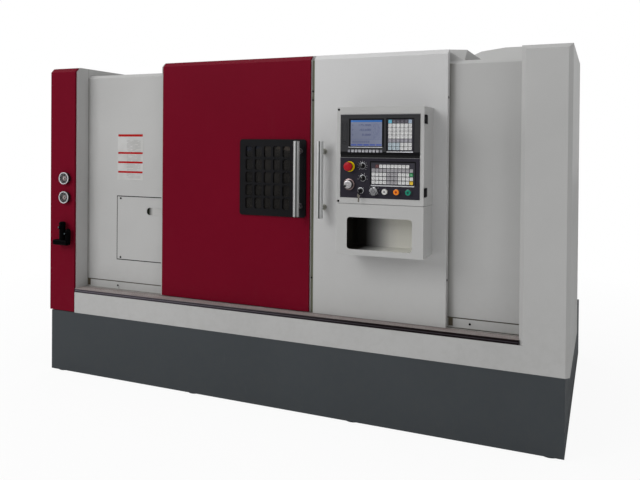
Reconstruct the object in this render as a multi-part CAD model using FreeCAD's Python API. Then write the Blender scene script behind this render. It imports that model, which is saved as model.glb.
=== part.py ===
"""Slant-bed turning lathe with a full sheet-metal enclosure.

Millimetres.  +X runs to the operator's right, along the spindle axis.
+Y runs from the operator into the machine.  +Z is up.
The origin is on the floor, below the middle of the machine's box.
"""
import FreeCAD, Part
import os
from math import acos, atan2, cos, hypot, pi, radians, sin, tan

V = FreeCAD.Vector

# ---------------------------------------------------------------------------
# Driving dimensions
# ---------------------------------------------------------------------------

# Enclosure as a whole
machine_width = 3070.0
machine_depth = 1750.0           # column front to the back of the cabinet door
cover_height = 1895.0            # top of the two end covers above the floor
cover_depth = 850.0
left_cover_width = 200.0
right_cover_width = 224.0
sheet = 4.0                      # folded sheet of all covers
bevel = 19.0                     # 45 degree bevel along the front edges
head_bevel = 24.0                # 45 degree bevel along the head of the red pans and the doors
seat_gap = 0.5                   # between two covers that only lie side by side

# Base
plinth_height = 378.0            # top of the base above the floor
plinth_inset = 19.0              # each side, from the outer face of the covers
plinth_wall = 60.0
plinth_deck = 40.0
band_foot_return = 60.0
foot_height = 10.0
foot_radius = 45.0
foot_screw_radius = 22.0
feet_per_side = 4
foot_side_margin = 20.0
foot_end_margin = 15.0
chip_slot_length = 900.0
chip_slot_width = 190.0
chip_slot_margin = 170.0         # front of the slot, behind the column front

# Front: track, recessed panels, doors
track_top = 527.0
track_height = 23.0
track_front_gap = 2.0
track_edge = 3.0
track_groove_width = 13.0
track_groove_depth = 15.0
track_clearance = 2.0
door_rail_height = 30.0
door_rail_thickness = 12.0
door_rail_drop = 128.0           # top of the rail below the top of the doors
door_rail_end_gap = 1.0
door_rail_web_margin = 9.0
door_rail_offset = 22.0          # front of the rail behind the door's face
shoe_length = 60.0
shoe_arm = 10.0
shoe_lip = 2.0
shoe_clearance = 0.6
shoe_inset = 46.0                # shoe to the end of the door's rail, door closed or open
panel_setback = 114.0            # recessed panels behind the column front
panel_top = 1833.0
panel_strip_height = 42.0        # screwed strip along the foot of a recessed panel
panel_seam = 6.0
panel_seam_depth = 3.0
panel_strip_gap = 22.0           # open corner at the inner end of the foot strip
panel_strip_offset = 4.0         # right open corner, from the right door's edge
panel_return = 56.0
opening_lap_left = 356.0         # left door over the recessed panel
opening_lap_right = 337.0
header_height = 84.0
door_setback = 63.0
door_thickness = 44.0
door_sheet = 3.0
door_top = 1903.0
left_door_left = -746.0
left_door_width = 967.0
door_meeting_gap = 24.0
meeting_strip_width = 20.0       # sheet lip of the left door in the gap between the doors
door_stop_gap = 9.0
right_door_width = 712.0
door_guide_thickness = 8.0
door_guide_length = 120.0
door_guide_inset = 80.0
door_guide_rise = 30.0
door_guide_foot_gap = 0.3
skin_depth = 14.0                # red skin in front of the grey body
skin_lip = 17.0                  # grey door edge seen beside the red skin
skin_wall = 3.0
skin_edge = 2.0                  # red skin to the meeting edge of the door
skin_foot = 3.0
body_drop = 3.0                  # grey body below the top of the red skin
column_skin_margin = 4.0

# Window in the left door
window_width = 403.0
window_height = 420.0
window_right_margin = 20.0       # window frame's right edge to the door's right edge
window_sill = 1035.0
window_radius = 16.0
window_frame_depth = 9.0
cell_columns = 5
cell_rows = 5
cell_width = 44.0
cell_height = 61.0
cell_pitch_x = 57.0
cell_pitch_z = 71.0
cell_corner = 7.0
cell_left_margin = 36.0           # the right margin carries the pull bar
glass_overlap = 12.0
glass_edge_gap = 1.0
glass_backing = 8.0              # grey body covers the edge of the glass

# Door handles
handle_radius = 17.0
handle_length = 403.0
handle_bottom = 1043.0
handle_reach = 60.0              # bar centre in front of the door
handle_post_inset = 54.0
handle_post_radius = 10.0
handle_end_bevel = 2.0
handle_flange_radius = 15.0
handle_flange_thickness = 3.0
left_handle_inset = 52.0
right_handle_inset = 60.0

# Access panel in the left recessed panel
access_width = 400.0
access_height = 388.0
access_sill = 712.0
access_left = 234.0              # from the left cover
access_plate = 3.0
access_gap = 1.5
access_proud = 1.0               # plate in front of the recessed panel
access_lip = 20.0
finger_slot_width = 112.0
finger_slot_height = 44.0
finger_slot_left = 222.0
finger_slot_top = 62.0
finger_slot_radius = 19.8

# Roof
roof_rise = 64.0                 # eave to ridge
roof_ridge_setback = 630.0
roof_back_setback = 1400.0
roof_side_inset = 30.0
hood_left = -700.0
hood_right = 1025.0
hood_rise = 60.0                 # hood's top above the eave
hood_back = 612.0
hood_lean = 62.0
hood_front_drop = 2.0
hood_corner_run = 95.0
hood_cut_scale = 3.0             # cutting face over the folded corner's own triangle
hood_cut_reach = 200.0
riser_left = 972.0
riser_height = 72.0
riser_lean = 88.0
riser_end_run = 44.0             # sloping left end of the riser
riser_end_drop = 44.0
riser_shoulder_run = 175.0
riser_shoulder_drop = 20.0

# Pressure gauges and the air filter unit on the left column
gauge_radius = 37.0
gauge_depth = 26.0
gauge_rim = 5.0
gauge_case_step = 2.0
gauge_bezel_slope = 1.0
gauge_bore_depth = 5.0
gauge_from_left = 131.0
gauge_heights = (1090.0, 1208.0)
air_block_bottom = 798.0
air_block_height = 32.0
air_block_length = 104.0
air_block_reach = 58.0
air_block_depth = 40.0
air_block_left = 79.0
air_bracket_left = 18.0          # bracket behind the block, from the block's left end
air_bracket_width = 60.0
air_bracket_sink = 3.0
air_bracket_drop = 5.0
air_block_round = 9.0
air_regulator_left = 50.0
air_centre_shift = 1.0
bowl_sink = 6.0
oiler_radius = 16.0
oiler_height = 53.0
regulator_radius = 19.0
regulator_height = 90.0
regulator_knob_radius = 20.0
regulator_knob_height = 20.0
air_bowl_spacing = 45.0
air_plug_radius = 9.0
air_plug_length = 12.0
air_plug_sink = 4.0
air_plug_direction = V(-0.6, -0.8, 0)
air_plug_heights = (76.0, 39.0)  # on the regulator and on the oiler
knob_gap = 0.5
knob_bevel = 7.0
knob_notch_count = 12
knob_notch_radius = 2.0

# Control box on the right door
control_width = 440.0
control_left = 202.0             # from the right door's left edge
control_bottom = 886.0
control_top = 1613.0
control_depth = 181.0
control_split = 1137.0           # seam under the hinged upper panel
control_door_depth = 20.0
control_door_sheet = 5.0
control_seam = 2.0
control_wall = 4.0
control_radius = 6.0
pocket_width = 330.0
pocket_height = 158.0
pocket_sill = 914.0
pocket_depth = 150.0
pocket_radius = 16.0
hinge_radius = 6.0
hinge_gap = 0.4                  # knuckles stand clear of the box's side
hinge_length = 42.0
hinge_leaf = 3.5
hinge_leaf_depth = 56.0
hinge_tab_sink = 2.0
hinge_tab_reach = 1.5
hinge_tab_setback = 1.0
hinge_tab_depth = 13.0
knuckle_gap = 0.2
pin_clearance = 0.1
hinge_heights = (1203.0, 1551.0)

# Display and operator panel
unit_width = 402.0
unit_proud = 4.0
unit_depth = 56.0
unit_inset = 10.0                # body behind the front plate
unit_bevel = 1.5
unit_hole_gap = 0.5
display_bottom = 1380.0
display_top = 1577.0
operator_bottom = 1168.0
operator_top = 1366.0
screen_width = 161.0
screen_height = 127.0
screen_left = 54.0
screen_bottom = 41.0
screen_recess = 2.0
soft_key_count = 10
soft_key_size = 13.0
soft_key_bottom = 11.0
soft_key_left = 41.0
soft_key_pitch = 18.2
data_key_columns = 6
data_key_rows = 8
data_key_size = 16.5
data_key_pitch_x = 19.8
data_key_pitch_z = 18.3
data_key_left = 247.0
data_key_bottom = 24.0
operator_key_columns = 11
operator_key_rows = 5
operator_key_size = 16.0
operator_key_pitch_x = 18.9
operator_key_pitch_z = 19.4
operator_keys_left = 165.0
operator_keys_bottom = 71.0
key_tray_margin = 6.0            # recessed tray around a block of keys
key_tray_depth = 2.0
key_proud = 2.5                  # top of the keys above the floor of their tray
card_slot_width = 26.0
card_slot_height = 106.0
card_slot_left = 10.0
card_slot_bottom = 50.0
card_slot_depth = 12.0

# Operating elements: offset from the operator panel's left edge and foot
stop_at = (52.0, 153.0)
stop_radius = 22.0
stop_reach = 40.0
stop_neck_radius = 13.0
stop_skirt = 12.0
stop_dome = 7.0
stop_collar_radius = 27.0
stop_collar_thickness = 3.0
stop_travel = 5.0
feed_knob_at = (117.0, 157.0)
rapid_knob_at = (119.0, 97.0)
selector_radius = 14.0
selector_skirt = 5.0
selector_height = 19.0
selector_grip_radius = 10.0
selector_grip_half = 5.2
selector_grip_depth = 12.0
handwheel_at = (50.0, 65.0)
handwheel_radius = 27.0
handwheel_rim = 6.0
handwheel_step = 4.0
handwheel_height = 24.0
handwheel_face_radius = 18.0
dimple_radius = 5.0
dimple_depth = 6.0
dimple_inset = 13.0
key_switch_at = (109.0, 36.0)
key_switch_radius = 12.0
key_lock_height = 8.0
key_thickness = 3.0
key_shank_reach = 8.0
key_shank_width = 8.0
key_bow_radius = 13.0
key_bow_reach = 14.0
key_bow_drop = 8.0
dial_at = (178.0, 35.0)
dial_radius = 21.0
dial_rim = 3.0
dial_face_radius = 15.0
dial_height = 18.0
dial_mark_width = 2.4
dial_mark_depth = 2.0
button_row_height = 34.0
button_offsets = (233.0, 291.0, 349.0)
button_radius = 13.5
button_height = 12.0
button_bevel = 2.0
button_travel = 3.0
knob_clearance = 0.6             # turned parts and relaxed buttons over the panel's face
stem_radius = 6.0
stem_length = 16.0
stem_clearance = 0.3
stem_hole_margin = 4.0

# Spindle line and slant bed
spindle_setback = 500.0          # spindle axis behind the column front
spindle_height = 1080.0
bed_slope = 45.0
bed_centre_height = 300.0        # spindle axis above the slanted face
bed_from_left_cover = 315.0
bed_from_right_cover = 161.0
bed_face_down = 330.0            # along the slope from the foot of the axis
bed_face_up = 440.0
bed_top_width = 140.0
bed_back_lean = 100.0
way_width = 60.0
way_height = 35.0
saddle_way_low = 80.0
saddle_way_high = 380.0
tail_way_low = -260.0
tail_way_high = -60.0
bed_core_width = 300.0
bed_core_height = 330.0
bed_core_depth = 220.0
bed_core_count = 4
bed_core_sill = 120.0
slide_clearance = 0.4

headstock_length = 490.0
headstock_shoulder = 8.0         # foot and body meet inside the round body
headstock_radius = 185.0
headstock_foot_down = 210.0
bearing_outer_radius = 110.0
bearing_length = 84.0
headstock_core_radius = 96.0
spindle_radius = 70.0
spindle_bore_radius = 38.0
spindle_tail_radius = 56.0
spindle_nose_radius = 104.0
spindle_nose_length = 22.0
spindle_nose_gap = 8.0
spindle_shoulder = 10.0
running_clearance = 0.05

pulley_gap = 30.0
pulley_width = 80.0
pulley_radius = 118.0
pulley_groove_count = 5
pulley_groove_depth = 9.0
pulley_groove_flank = 0.36       # half a groove's mouth, in pitches
motor_pulley_radius = 82.0
belt_thickness = 9.0
belt_width = 66.0
belt_clearance = 0.5
cylinder_radius = 92.0
cylinder_length = 88.0
cylinder_collar_radius = 64.0
cylinder_collar_length = 31.0

chuck_radius = 127.0
chuck_length = 104.0
chuck_bore_radius = 40.0
chuck_back_edge = 3.0
chuck_front_edge = 5.0
jaw_width = 40.0
jaw_length = 75.0
jaw_step_count = 3
jaw_step_height = 13.2
jaw_nose_height = 14.0
jaw_nose_half = 6.0
jaw_key_end = 4.0
jaw_height = 44.0
jaw_key_width = 20.0
jaw_key_depth = 14.0
jaw_inner_radius = 46.0
jaw_clearance = 0.3

motor_setback = 290.0
motor_height = 604.0             # motor axis above the floor
motor_size = 250.0
motor_length = 400.0
motor_from_pulley = 24.0
motor_corner = 28.0
motor_fin_margin = 40.0
motor_fin_start = 50.0
motor_fin_end = 60.0
motor_box_start = 120.0
motor_box_length = 120.0
motor_box_height = 60.0
motor_fin_count = 9
motor_fin_depth = 10.0
motor_foot_height = 30.0
motor_foot_length = 60.0
motor_foot_start = 50.0
motor_foot_spread = 15.0
motor_foot_web = 30.0
motor_shaft_radius = 24.0
motor_shaft_length = 60.0

saddle_from_chuck = 296.0
saddle_length = 320.0
saddle_top = 95.0
saddle_low = 20.0
saddle_high = 440.0
saddle_floor = 5.0
cross_rail_width = 40.0
cross_rail_height = 20.0
cross_rail_inset = 40.0
cross_rail_end = 6.0
cross_bracket_half = 60.0
cross_bracket_length = 30.0
cross_bracket_rise = 38.0
cross_slide_top = 150.0
cross_slide_low = 110.0
cross_slide_high = 430.0
turret_offset = 400.0            # turret axis up the slope from the spindle axis
turret_housing_size = 230.0
turret_housing_length = 260.0
turret_housing_round = 34.0
turret_pedestal_inset = 6.0
turret_pedestal_rise = 40.0
turret_radius = 155.0
turret_thickness = 64.0
turret_gap = 2.0
turret_shaft_radius = 42.0
turret_shaft_length = 60.0
turret_cap_radius = 48.0
turret_cap_height = 14.0
turret_stations = 12
tool_shank = 25.0
tool_reach = 62.0
tool_tip = 14.0
tool_slot_length = 80.0
bar_block_radius = 26.0
bar_block_length = 34.0
bar_block_inset = 6.0
bar_radius = 12.0
bar_length = 80.0

tailstock_from_bed_end = 20.0
tailstock_length = 250.0
tailstock_sole_margin = 42.0
tailstock_pillar_inset = 40.0
tailstock_pillar_rise = 30.0
tailstock_shoulder = 4.0
tailstock_radius = 88.0
tailstock_sole = 60.0
quill_radius = 45.0
quill_length = 300.0
quill_edge = 3.0
quill_reach = 40.0               # quill nose in front of the tailstock at rest
centre_length = 74.0
centre_radius = 26.0
centre_socket_radius = 16.0
centre_socket_depth = 60.0
centre_socket_gap = 4.0
centre_half_angle = 30.0
centre_shoulder = 1.0

screw_offset = 230.0             # lead screw axis up the slope
screw_height = 50.0
screw_radius = 20.0
screw_from_headstock = 60.0
screw_bearing_length = 30.0
screw_bracket_half = 34.0
servo_size = 100.0
cross_servo_size = 80.0
servo_body_length = 90.0
servo_cap_length = 38.0
servo_cap_ratio = 0.78
cross_screw_radius = 14.0
cross_screw_end = 4.0
screw_end_gap = 1.0

# Electrical cabinet and hydraulic unit behind the rear wall
cabinet_width = 1000.0
cabinet_from_side = 235.0
cabinet_top_drop = 36.0          # below the ridge of the roof
cabinet_door_depth = 22.0
cabinet_door_gap = 1.0
cabinet_door_sill = 6.0
cabinet_latch_length = 130.0
cabinet_latch_width = 36.0
cabinet_latch_inset = 60.0
cabinet_latch_depth = 13.0
cabinet_latch_wall = 3.0
cabinet_lever_margin = 10.0
cabinet_lever_setback = 1.0
cabinet_plate_margin_x = 60.0
cabinet_plate_margin_z = 90.0
cabinet_plate_thickness = 6.0
drive_margin = 100.0
drive_gap = 22.0
drive_rise = 972.0               # foot of the drive units above the cabinet's foot
drive_sizes = ((170.0, 190.0, 360.0), (110.0, 190.0, 360.0),
               (110.0, 190.0, 360.0), (220.0, 150.0, 300.0))
terminal_rows = 2
terminal_rise = 382.0
terminal_pitch = 260.0
terminal_depth = 90.0
terminal_height = 110.0
hydraulic_from_side = 285.0
hydraulic_gap = 16.0
hydraulic_length = 460.0
hydraulic_lid = 12.0
hydraulic_lid_lap = 8.0
hydraulic_depth = 300.0
hydraulic_tank_height = 230.0
hydraulic_motor_radius = 88.0
hydraulic_motor_height = 250.0
hydraulic_motor_from_left = 130.0
hydraulic_flange_step = 14.0
hydraulic_fan_length = 60.0
hydraulic_fan_step = 5.0
hydraulic_fan_edge = 12.0
hydraulic_block_length = 120.0
hydraulic_block_width = 100.0
hydraulic_block_from_right = 170.0
hydraulic_block_height = 98.0
hydraulic_valve_radius = 22.0
hydraulic_valve_length = 170.0
hydraulic_valve_rise = 63.0
filler_radius = 24.0
filler_height = 40.0
filler_inset = 30.0
filler_shift = 100.0

shaft_end_gap = 6.0              # end of a shaft to the foot of its bore
past = 1.0                       # cutting shapes run this far past the face they cut

# ---------------------------------------------------------------------------
# Places worked out from the driving dimensions
# ---------------------------------------------------------------------------

half_width = machine_width / 2
front_reach = control_depth - door_setback + unit_proud + stop_reach
front = -(machine_depth - front_reach) / 2
back = front + machine_depth
left_cover_inner = -half_width + left_cover_width
right_cover_inner = half_width - right_cover_width
left_door_right = left_door_left + left_door_width
opening_left = left_door_left + opening_lap_left
track_bottom = track_top - track_height
door_face = front + door_setback
door_back = door_face + door_thickness
rail_top = door_top - door_rail_drop
rail_bottom = rail_top - door_rail_height
panel_face = front + panel_setback
door_bottom = track_top + track_clearance
right_door_left = left_door_right + door_meeting_gap
right_door_right = right_door_left + right_door_width
opening_right = right_door_right - opening_lap_right
eave_height = panel_top + bevel
ridge_height = eave_height + roof_rise
hood_top = eave_height + hood_rise
rear_wall = front + roof_back_setback
control_left_x = right_door_left + control_left
control_right_x = control_left_x + control_width
control_face = door_face - control_depth
hinge_x = control_right_x + hinge_radius + hinge_gap
hinge_y = control_face
unit_left = control_left_x + (control_width - unit_width) / 2
unit_face = control_face - unit_proud

spindle_y = front + spindle_setback
bed_angle = radians(bed_slope)
slope_y = cos(bed_angle)
slope_z = sin(bed_angle)
bed_foot_y = spindle_y + bed_centre_height * slope_z
bed_foot_z = spindle_height - bed_centre_height * slope_y
bed_left = left_cover_inner + bed_from_left_cover
bed_right = right_cover_inner - bed_from_right_cover
headstock_left = bed_left
headstock_right = headstock_left + headstock_length
spindle_nose = headstock_right + spindle_nose_gap + spindle_nose_length
pulley_right = headstock_left - pulley_gap
pulley_left = pulley_right - pulley_width
cylinder_left = pulley_left - cylinder_length
chuck_face = spindle_nose + chuck_length
motor_y = front + motor_setback
motor_left = pulley_right + motor_from_pulley
saddle_left = chuck_face + saddle_from_chuck
tailstock_left = bed_right - tailstock_from_bed_end - tailstock_length
screw_left = headstock_right + screw_from_headstock
cabinet_right = half_width - cabinet_from_side
cabinet_left = cabinet_right - cabinet_width
cabinet_top = ridge_height - cabinet_top_drop
hydraulic_left = -half_width + hydraulic_from_side


# ---------------------------------------------------------------------------
# Small shape helpers
# ---------------------------------------------------------------------------

def block(x0, x1, y0, y1, z0, z1):
    """Box between two corners."""
    return Part.makeBox(x1 - x0, y1 - y0, z1 - z0, V(x0, y0, z0))


def cylinder(start, direction, radius, length):
    """Solid cylinder from a start point along a direction."""
    return Part.makeCylinder(radius, length, start, direction)


def ring(start, direction, outer, inner, length):
    """Plain ring."""
    return cylinder(start, direction, outer, length).cut(cylinder(start, direction, inner, length))


def face_of(points):
    """Planar face through a closed run of points."""
    return Part.Face(Part.makePolygon(points + points[:1]))


def along_x(outline, x0, x1):
    """Prism from a (y, z) outline, from x0 to x1."""
    return face_of([V(x0, y, z) for y, z in outline]).extrude(V(x1 - x0, 0, 0))


def along_y(outline, y0, y1):
    """Prism from an (x, z) outline, from y0 to y1."""
    return face_of([V(x, y0, z) for x, z in outline]).extrude(V(0, y1 - y0, 0))


def bent_sheet(line, thickness):
    """Closed outline of a bent sheet: a bend line and its mitred offset on the left."""
    offset = []
    for index, point in enumerate(line):
        before = line[max(index - 1, 0)]
        after = line[min(index + 1, len(line) - 1)]
        normals = []
        for start, end in ((before, point), (point, after)):
            run = hypot(end[0] - start[0], end[1] - start[1])
            if run > 0:
                normals.append((-(end[1] - start[1]) / run, (end[0] - start[0]) / run))
        first, last = normals[0], normals[-1]
        stretch = thickness / (1 + first[0] * last[0] + first[1] * last[1])
        offset.append((point[0] + (first[0] + last[0]) * stretch,
                       point[1] + (first[1] + last[1]) * stretch))
    return list(line) + offset[::-1]


def rounded_block(x0, x1, y0, y1, z0, z1, radius):
    """Box with the four edges that run along Y rounded."""
    solid = block(x0, x1, y0, y1, z0, z1)
    edges = [edge for edge in solid.Edges if abs(edge.tangentAt(edge.FirstParameter).y) > 0.9]
    return solid.makeFillet(radius, edges)


def bevelled(solid, size, chosen):
    """Bevel the edges whose middle the chosen() test accepts."""
    return solid.makeChamfer(size, [edge for edge in solid.Edges if chosen(edge.CenterOfMass)])


def turned(profile, centre, axis):
    """Solid of revolution from (position along the axis, radius) points."""
    side = V(0, 0, 1) if abs(axis.z) < 0.5 else V(1, 0, 0)
    points = [centre + axis * position + side * radius for position, radius in profile]
    solid = face_of(points).revolve(centre, axis, 360)
    return solid


def on_slope(up, height):
    """(y, z) of a point up the slanted bed face and above it."""
    return (bed_foot_y + up * slope_y - height * slope_z,
            bed_foot_z + up * slope_z + height * slope_y)


def slope_prism(outline, x0, x1):
    """Prism along X from an outline in (up the slope, above the slope)."""
    return along_x([on_slope(up, height) for up, height in outline], x0, x1)


def slope_block(x0, x1, up0, up1, height0, height1):
    """Box aligned with the slanted bed face."""
    return slope_prism([(up0, height0), (up1, height0), (up1, height1), (up0, height1)], x0, x1)


def slope_point(x, up, height):
    """Point in space from a place on the slanted bed face."""
    return V(x, *on_slope(up, height))


def fused(first, *others):
    """One solid from several that touch or overlap."""
    return first.fuse(list(others)).removeSplitter() if others else first


def head_edge(y, z):
    """Chooses the front edge at the head of a block."""
    return lambda centre: abs(centre.y - y) < 1e-6 and abs(centre.z - z) < 1e-6


def pan(x0, x1, y0, y1, z0, z1, wall):
    """Sheet pan, open at the back, with its head bevelled."""
    outer = bevelled(block(x0, x1, y0, y1, z0, z1), head_bevel, head_edge(y0, z1))
    inner = block(x0 + wall, x1 - wall, y0 + wall, y1 + wall, z0 + wall, z1 - wall)
    inner_bevel = head_bevel - wall * (2 - 2 ** 0.5)
    return outer.cut(bevelled(inner, inner_bevel, head_edge(y0 + wall, z1 - wall)))


def folded_skin(x0, x1, y0, z0, z1):
    """Shallow pan, open at the back, whose head folds back over a bevelled body."""
    fold = z1 - head_bevel
    back_y = y0 + skin_depth
    outline = [(y0, z0), (y0, fold), (y0 + head_bevel, z1), (back_y + head_bevel, z1),
               (back_y, fold), (back_y, z0)]
    mitre = skin_wall * (2 ** 0.5 - 1)
    far = back_y + head_bevel + past
    hollow = [(y0 + skin_wall, z0 + skin_wall), (y0 + skin_wall, fold - mitre),
              (y0 + head_bevel + mitre, z1 - skin_wall), (far, z1 - skin_wall),
              (far, z0 + skin_wall)]
    return along_x(outline, x0, x1).cut(along_x(hollow, x0 + skin_wall, x1 - skin_wall))


axis_x = V(1, 0, 0)
axis_y = V(0, 1, 0)
axis_z = V(0, 0, 1)
up_slope = V(0, slope_y, slope_z)
off_slope = V(0, -slope_z, slope_y)


# ---------------------------------------------------------------------------
# Base and enclosure
# ---------------------------------------------------------------------------

def base_plinth():
    """Welded base: skirt, deck with the chip slot, and levelling feet."""
    x0 = -half_width + plinth_inset
    x1 = half_width - plinth_inset
    skirt = block(x0, x1, front, back, foot_height, plinth_height)
    hollow = block(x0 + plinth_wall, x1 - plinth_wall, front + plinth_wall, back - plinth_wall,
                   foot_height, plinth_height - plinth_deck)
    slot_front = front + chip_slot_margin
    slot = block(opening_left, opening_left + chip_slot_length, slot_front,
                 slot_front + chip_slot_width, foot_height, plinth_height)
    base = skirt.cut(hollow).cut(slot)
    feet = []
    end_x = foot_radius + foot_side_margin
    end_y = foot_radius + foot_end_margin
    spacing = (x1 - x0 - 2 * end_x) / (feet_per_side - 1)
    for y in (front + end_y, back - end_y):
        for index in range(feet_per_side):
            x = x0 + end_x + index * spacing
            profile = [(0, 0), (0, foot_radius), (foot_height / 2, foot_radius),
                       (foot_height, foot_screw_radius), (2 * foot_height, foot_screw_radius),
                       (2 * foot_height, 0)]
            feet.append(turned(profile, V(x, y, 0), axis_z))
    return fused(base, *feet)


def column_shell(x0, x1, y0, size, lowest):
    """Tall sheet cover, open at the back and foot; front edges above a level are bevelled."""
    outer = block(x0, x1, y0, front + cover_depth, plinth_height, cover_height)
    inner = block(x0 + sheet, x1 - sheet, y0 + sheet, front + cover_depth + sheet,
                  plinth_height - sheet, cover_height - sheet)
    outer = bevelled(outer, size, lambda c: abs(c.y - y0) < 1e-6 and c.z > lowest)
    inner = bevelled(inner, size - sheet * (2 - 2 ** 0.5),
                     lambda c: abs(c.y - y0 - sheet) < 1e-6 and c.z > lowest - sheet)
    return outer.cut(inner)


def left_end_cover():
    """Grey end cover behind the red column front."""
    return column_shell(-half_width, left_cover_inner, front + skin_depth,
                        head_bevel + column_skin_margin, cover_height - past)


def left_front_panel():
    """Red pan in front of the left end cover."""
    return folded_skin(-half_width + column_skin_margin, left_cover_inner - column_skin_margin,
                       front, plinth_height + column_skin_margin,
                       cover_height - column_skin_margin)


def enclosure_frame():
    """Right end cover and the low band below the track, one welded sheet frame."""
    cover = column_shell(right_cover_inner, half_width, front, bevel, plinth_height + past)
    band_line = [(front + band_foot_return, plinth_height), (front, plinth_height),
                 (front, track_bottom), (panel_face, track_bottom)]
    band = along_x(bent_sheet(band_line[::-1], sheet), left_cover_inner, right_cover_inner + bevel)
    return fused(cover, band)


def door_tracks():
    """Grooved floor track and the four fixed shoes that hold the doors' upper rails."""
    groove_y = groove_centre()
    half_groove = track_groove_width / 2
    track_front = front + track_front_gap
    section = [(track_front, track_bottom), (panel_face, track_bottom), (panel_face, track_top),
               (groove_y + half_groove, track_top),
               (groove_y + half_groove, track_top - track_groove_depth),
               (groove_y - half_groove, track_top - track_groove_depth),
               (groove_y - half_groove, track_top),
               (track_front + track_edge, track_top), (track_front, track_top - track_edge)]
    track = along_x(section, left_cover_inner, right_cover_inner)
    left_travel, right_travel = door_travels()
    shoes = [guide_shoe(left_door_left + shoe_inset),
             guide_shoe(left_door_right - left_travel - shoe_inset - shoe_length),
             guide_shoe(right_door_left + right_travel + shoe_inset),
             guide_shoe(right_door_right - shoe_inset - shoe_length)]
    return Part.makeCompound([track] + shoes)


def door_travels():
    """How far the left and the right door slide open, short of the end covers."""
    left_travel = left_door_left - left_cover_inner - door_stop_gap
    right_travel = right_cover_inner - right_door_right - door_stop_gap
    return left_travel, right_travel


def guide_shoe(x):
    """Shoe on a recessed panel that grips a door's rail from above and below."""
    lip_front = rail_front() - shoe_lip
    shoe = block(x, x + shoe_length, lip_front, panel_face,
                 rail_bottom - shoe_arm, rail_top + shoe_arm)
    channel = block(x - past, x + shoe_length + past, lip_front - past,
                    rail_front() + door_rail_thickness + shoe_clearance,
                    rail_bottom - shoe_clearance, rail_top + shoe_clearance)
    return shoe.cut(channel)


def groove_centre():
    """Y of the groove that guides the foot of both doors."""
    return door_back - track_groove_width


def rail_front():
    """Front face of the doors' upper rails, inside the hollow of the doors."""
    return door_face + door_rail_offset


def front_panel(x0, x1, jamb_x, direction, gap_x):
    """Recessed front panel with a bevelled head, a return at the door opening and a foot strip.

    The strip starts past an open corner at gap_x.
    """
    head = panel_face + bevel
    line = [(panel_face, track_top), (panel_face, panel_top), (head, eave_height)]
    panel = along_x(bent_sheet(line[::-1], sheet), x0, x1)
    jamb_end = jamb_x + direction * sheet
    jamb = block(min(jamb_x, jamb_end), max(jamb_x, jamb_end), panel_face,
                 panel_face + panel_return, track_top, panel_top)
    seam_z = track_top + panel_strip_height
    seam = block(x0, x1, panel_face - past, panel_face + panel_seam_depth,
                 seam_z, seam_z + panel_seam)
    gap = block(gap_x, gap_x + panel_strip_gap, panel_face - past, panel_face + sheet + past,
                track_top + sheet, seam_z)
    return fused(panel, jamb).cut(seam).cut(gap)


def access_corner():
    """Left and lower edge of the access panel."""
    return left_cover_inner + access_left, access_sill


def front_panel_left():
    """Left recessed panel with the opening that the access panel closes."""
    panel = front_panel(left_cover_inner, opening_left, opening_left, -1,
                        left_cover_inner + sheet)
    x, z = access_corner()
    hole = block(x + access_lip, x + access_width - access_lip,
                 panel_face - past, panel_face + sheet + past,
                 z + access_lip, z + access_height - access_lip)
    seat = block(x - access_gap, x + access_width + access_gap, panel_face - past,
                 panel_face + access_plate - access_proud,
                 z - access_gap, z + access_height + access_gap)
    return panel.cut(hole).cut(seat)


def front_panel_right():
    """Right recessed panel."""
    return front_panel(opening_right, right_cover_inner, opening_right, 1,
                       right_door_right + panel_strip_offset)


def access_panel():
    """Screwed plate with a round-ended finger slot."""
    x, z = access_corner()
    y = panel_face - access_proud
    plate = block(x, x + access_width, y, y + access_plate, z, z + access_height)
    top = z + access_height - finger_slot_top
    slot = rounded_block(x + finger_slot_left, x + finger_slot_left + finger_slot_width,
                         y - past, y + access_plate + past, top - finger_slot_height, top,
                         finger_slot_radius)
    return plate.cut(slot)


def roof_enclosure():
    """Roof, rear wall, rear side walls and the hood over the door opening."""
    ridge = front + roof_ridge_setback
    head = panel_face + bevel
    line = [(head + sheet, roof_height(head + sheet)), (ridge, ridge_height),
            (front + cover_depth, ridge_height)]
    front_roof = along_x(bent_sheet(line[::-1], sheet), left_cover_inner, right_cover_inner)
    side = half_width - roof_side_inset
    outer = block(-side, side, front + cover_depth, rear_wall, plinth_height, ridge_height)
    inner = block(-side + sheet, side - sheet, front + cover_depth - sheet, rear_wall - sheet,
                  plinth_height - sheet, ridge_height - sheet)
    return fused(front_roof, outer.cut(inner), door_hood(), roof_riser())


def roof_height(y):
    """Top of the sloping roof at a given Y."""
    run = roof_ridge_setback - panel_setback - bevel
    return eave_height + roof_rise * (y - panel_face - bevel) / run


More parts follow.
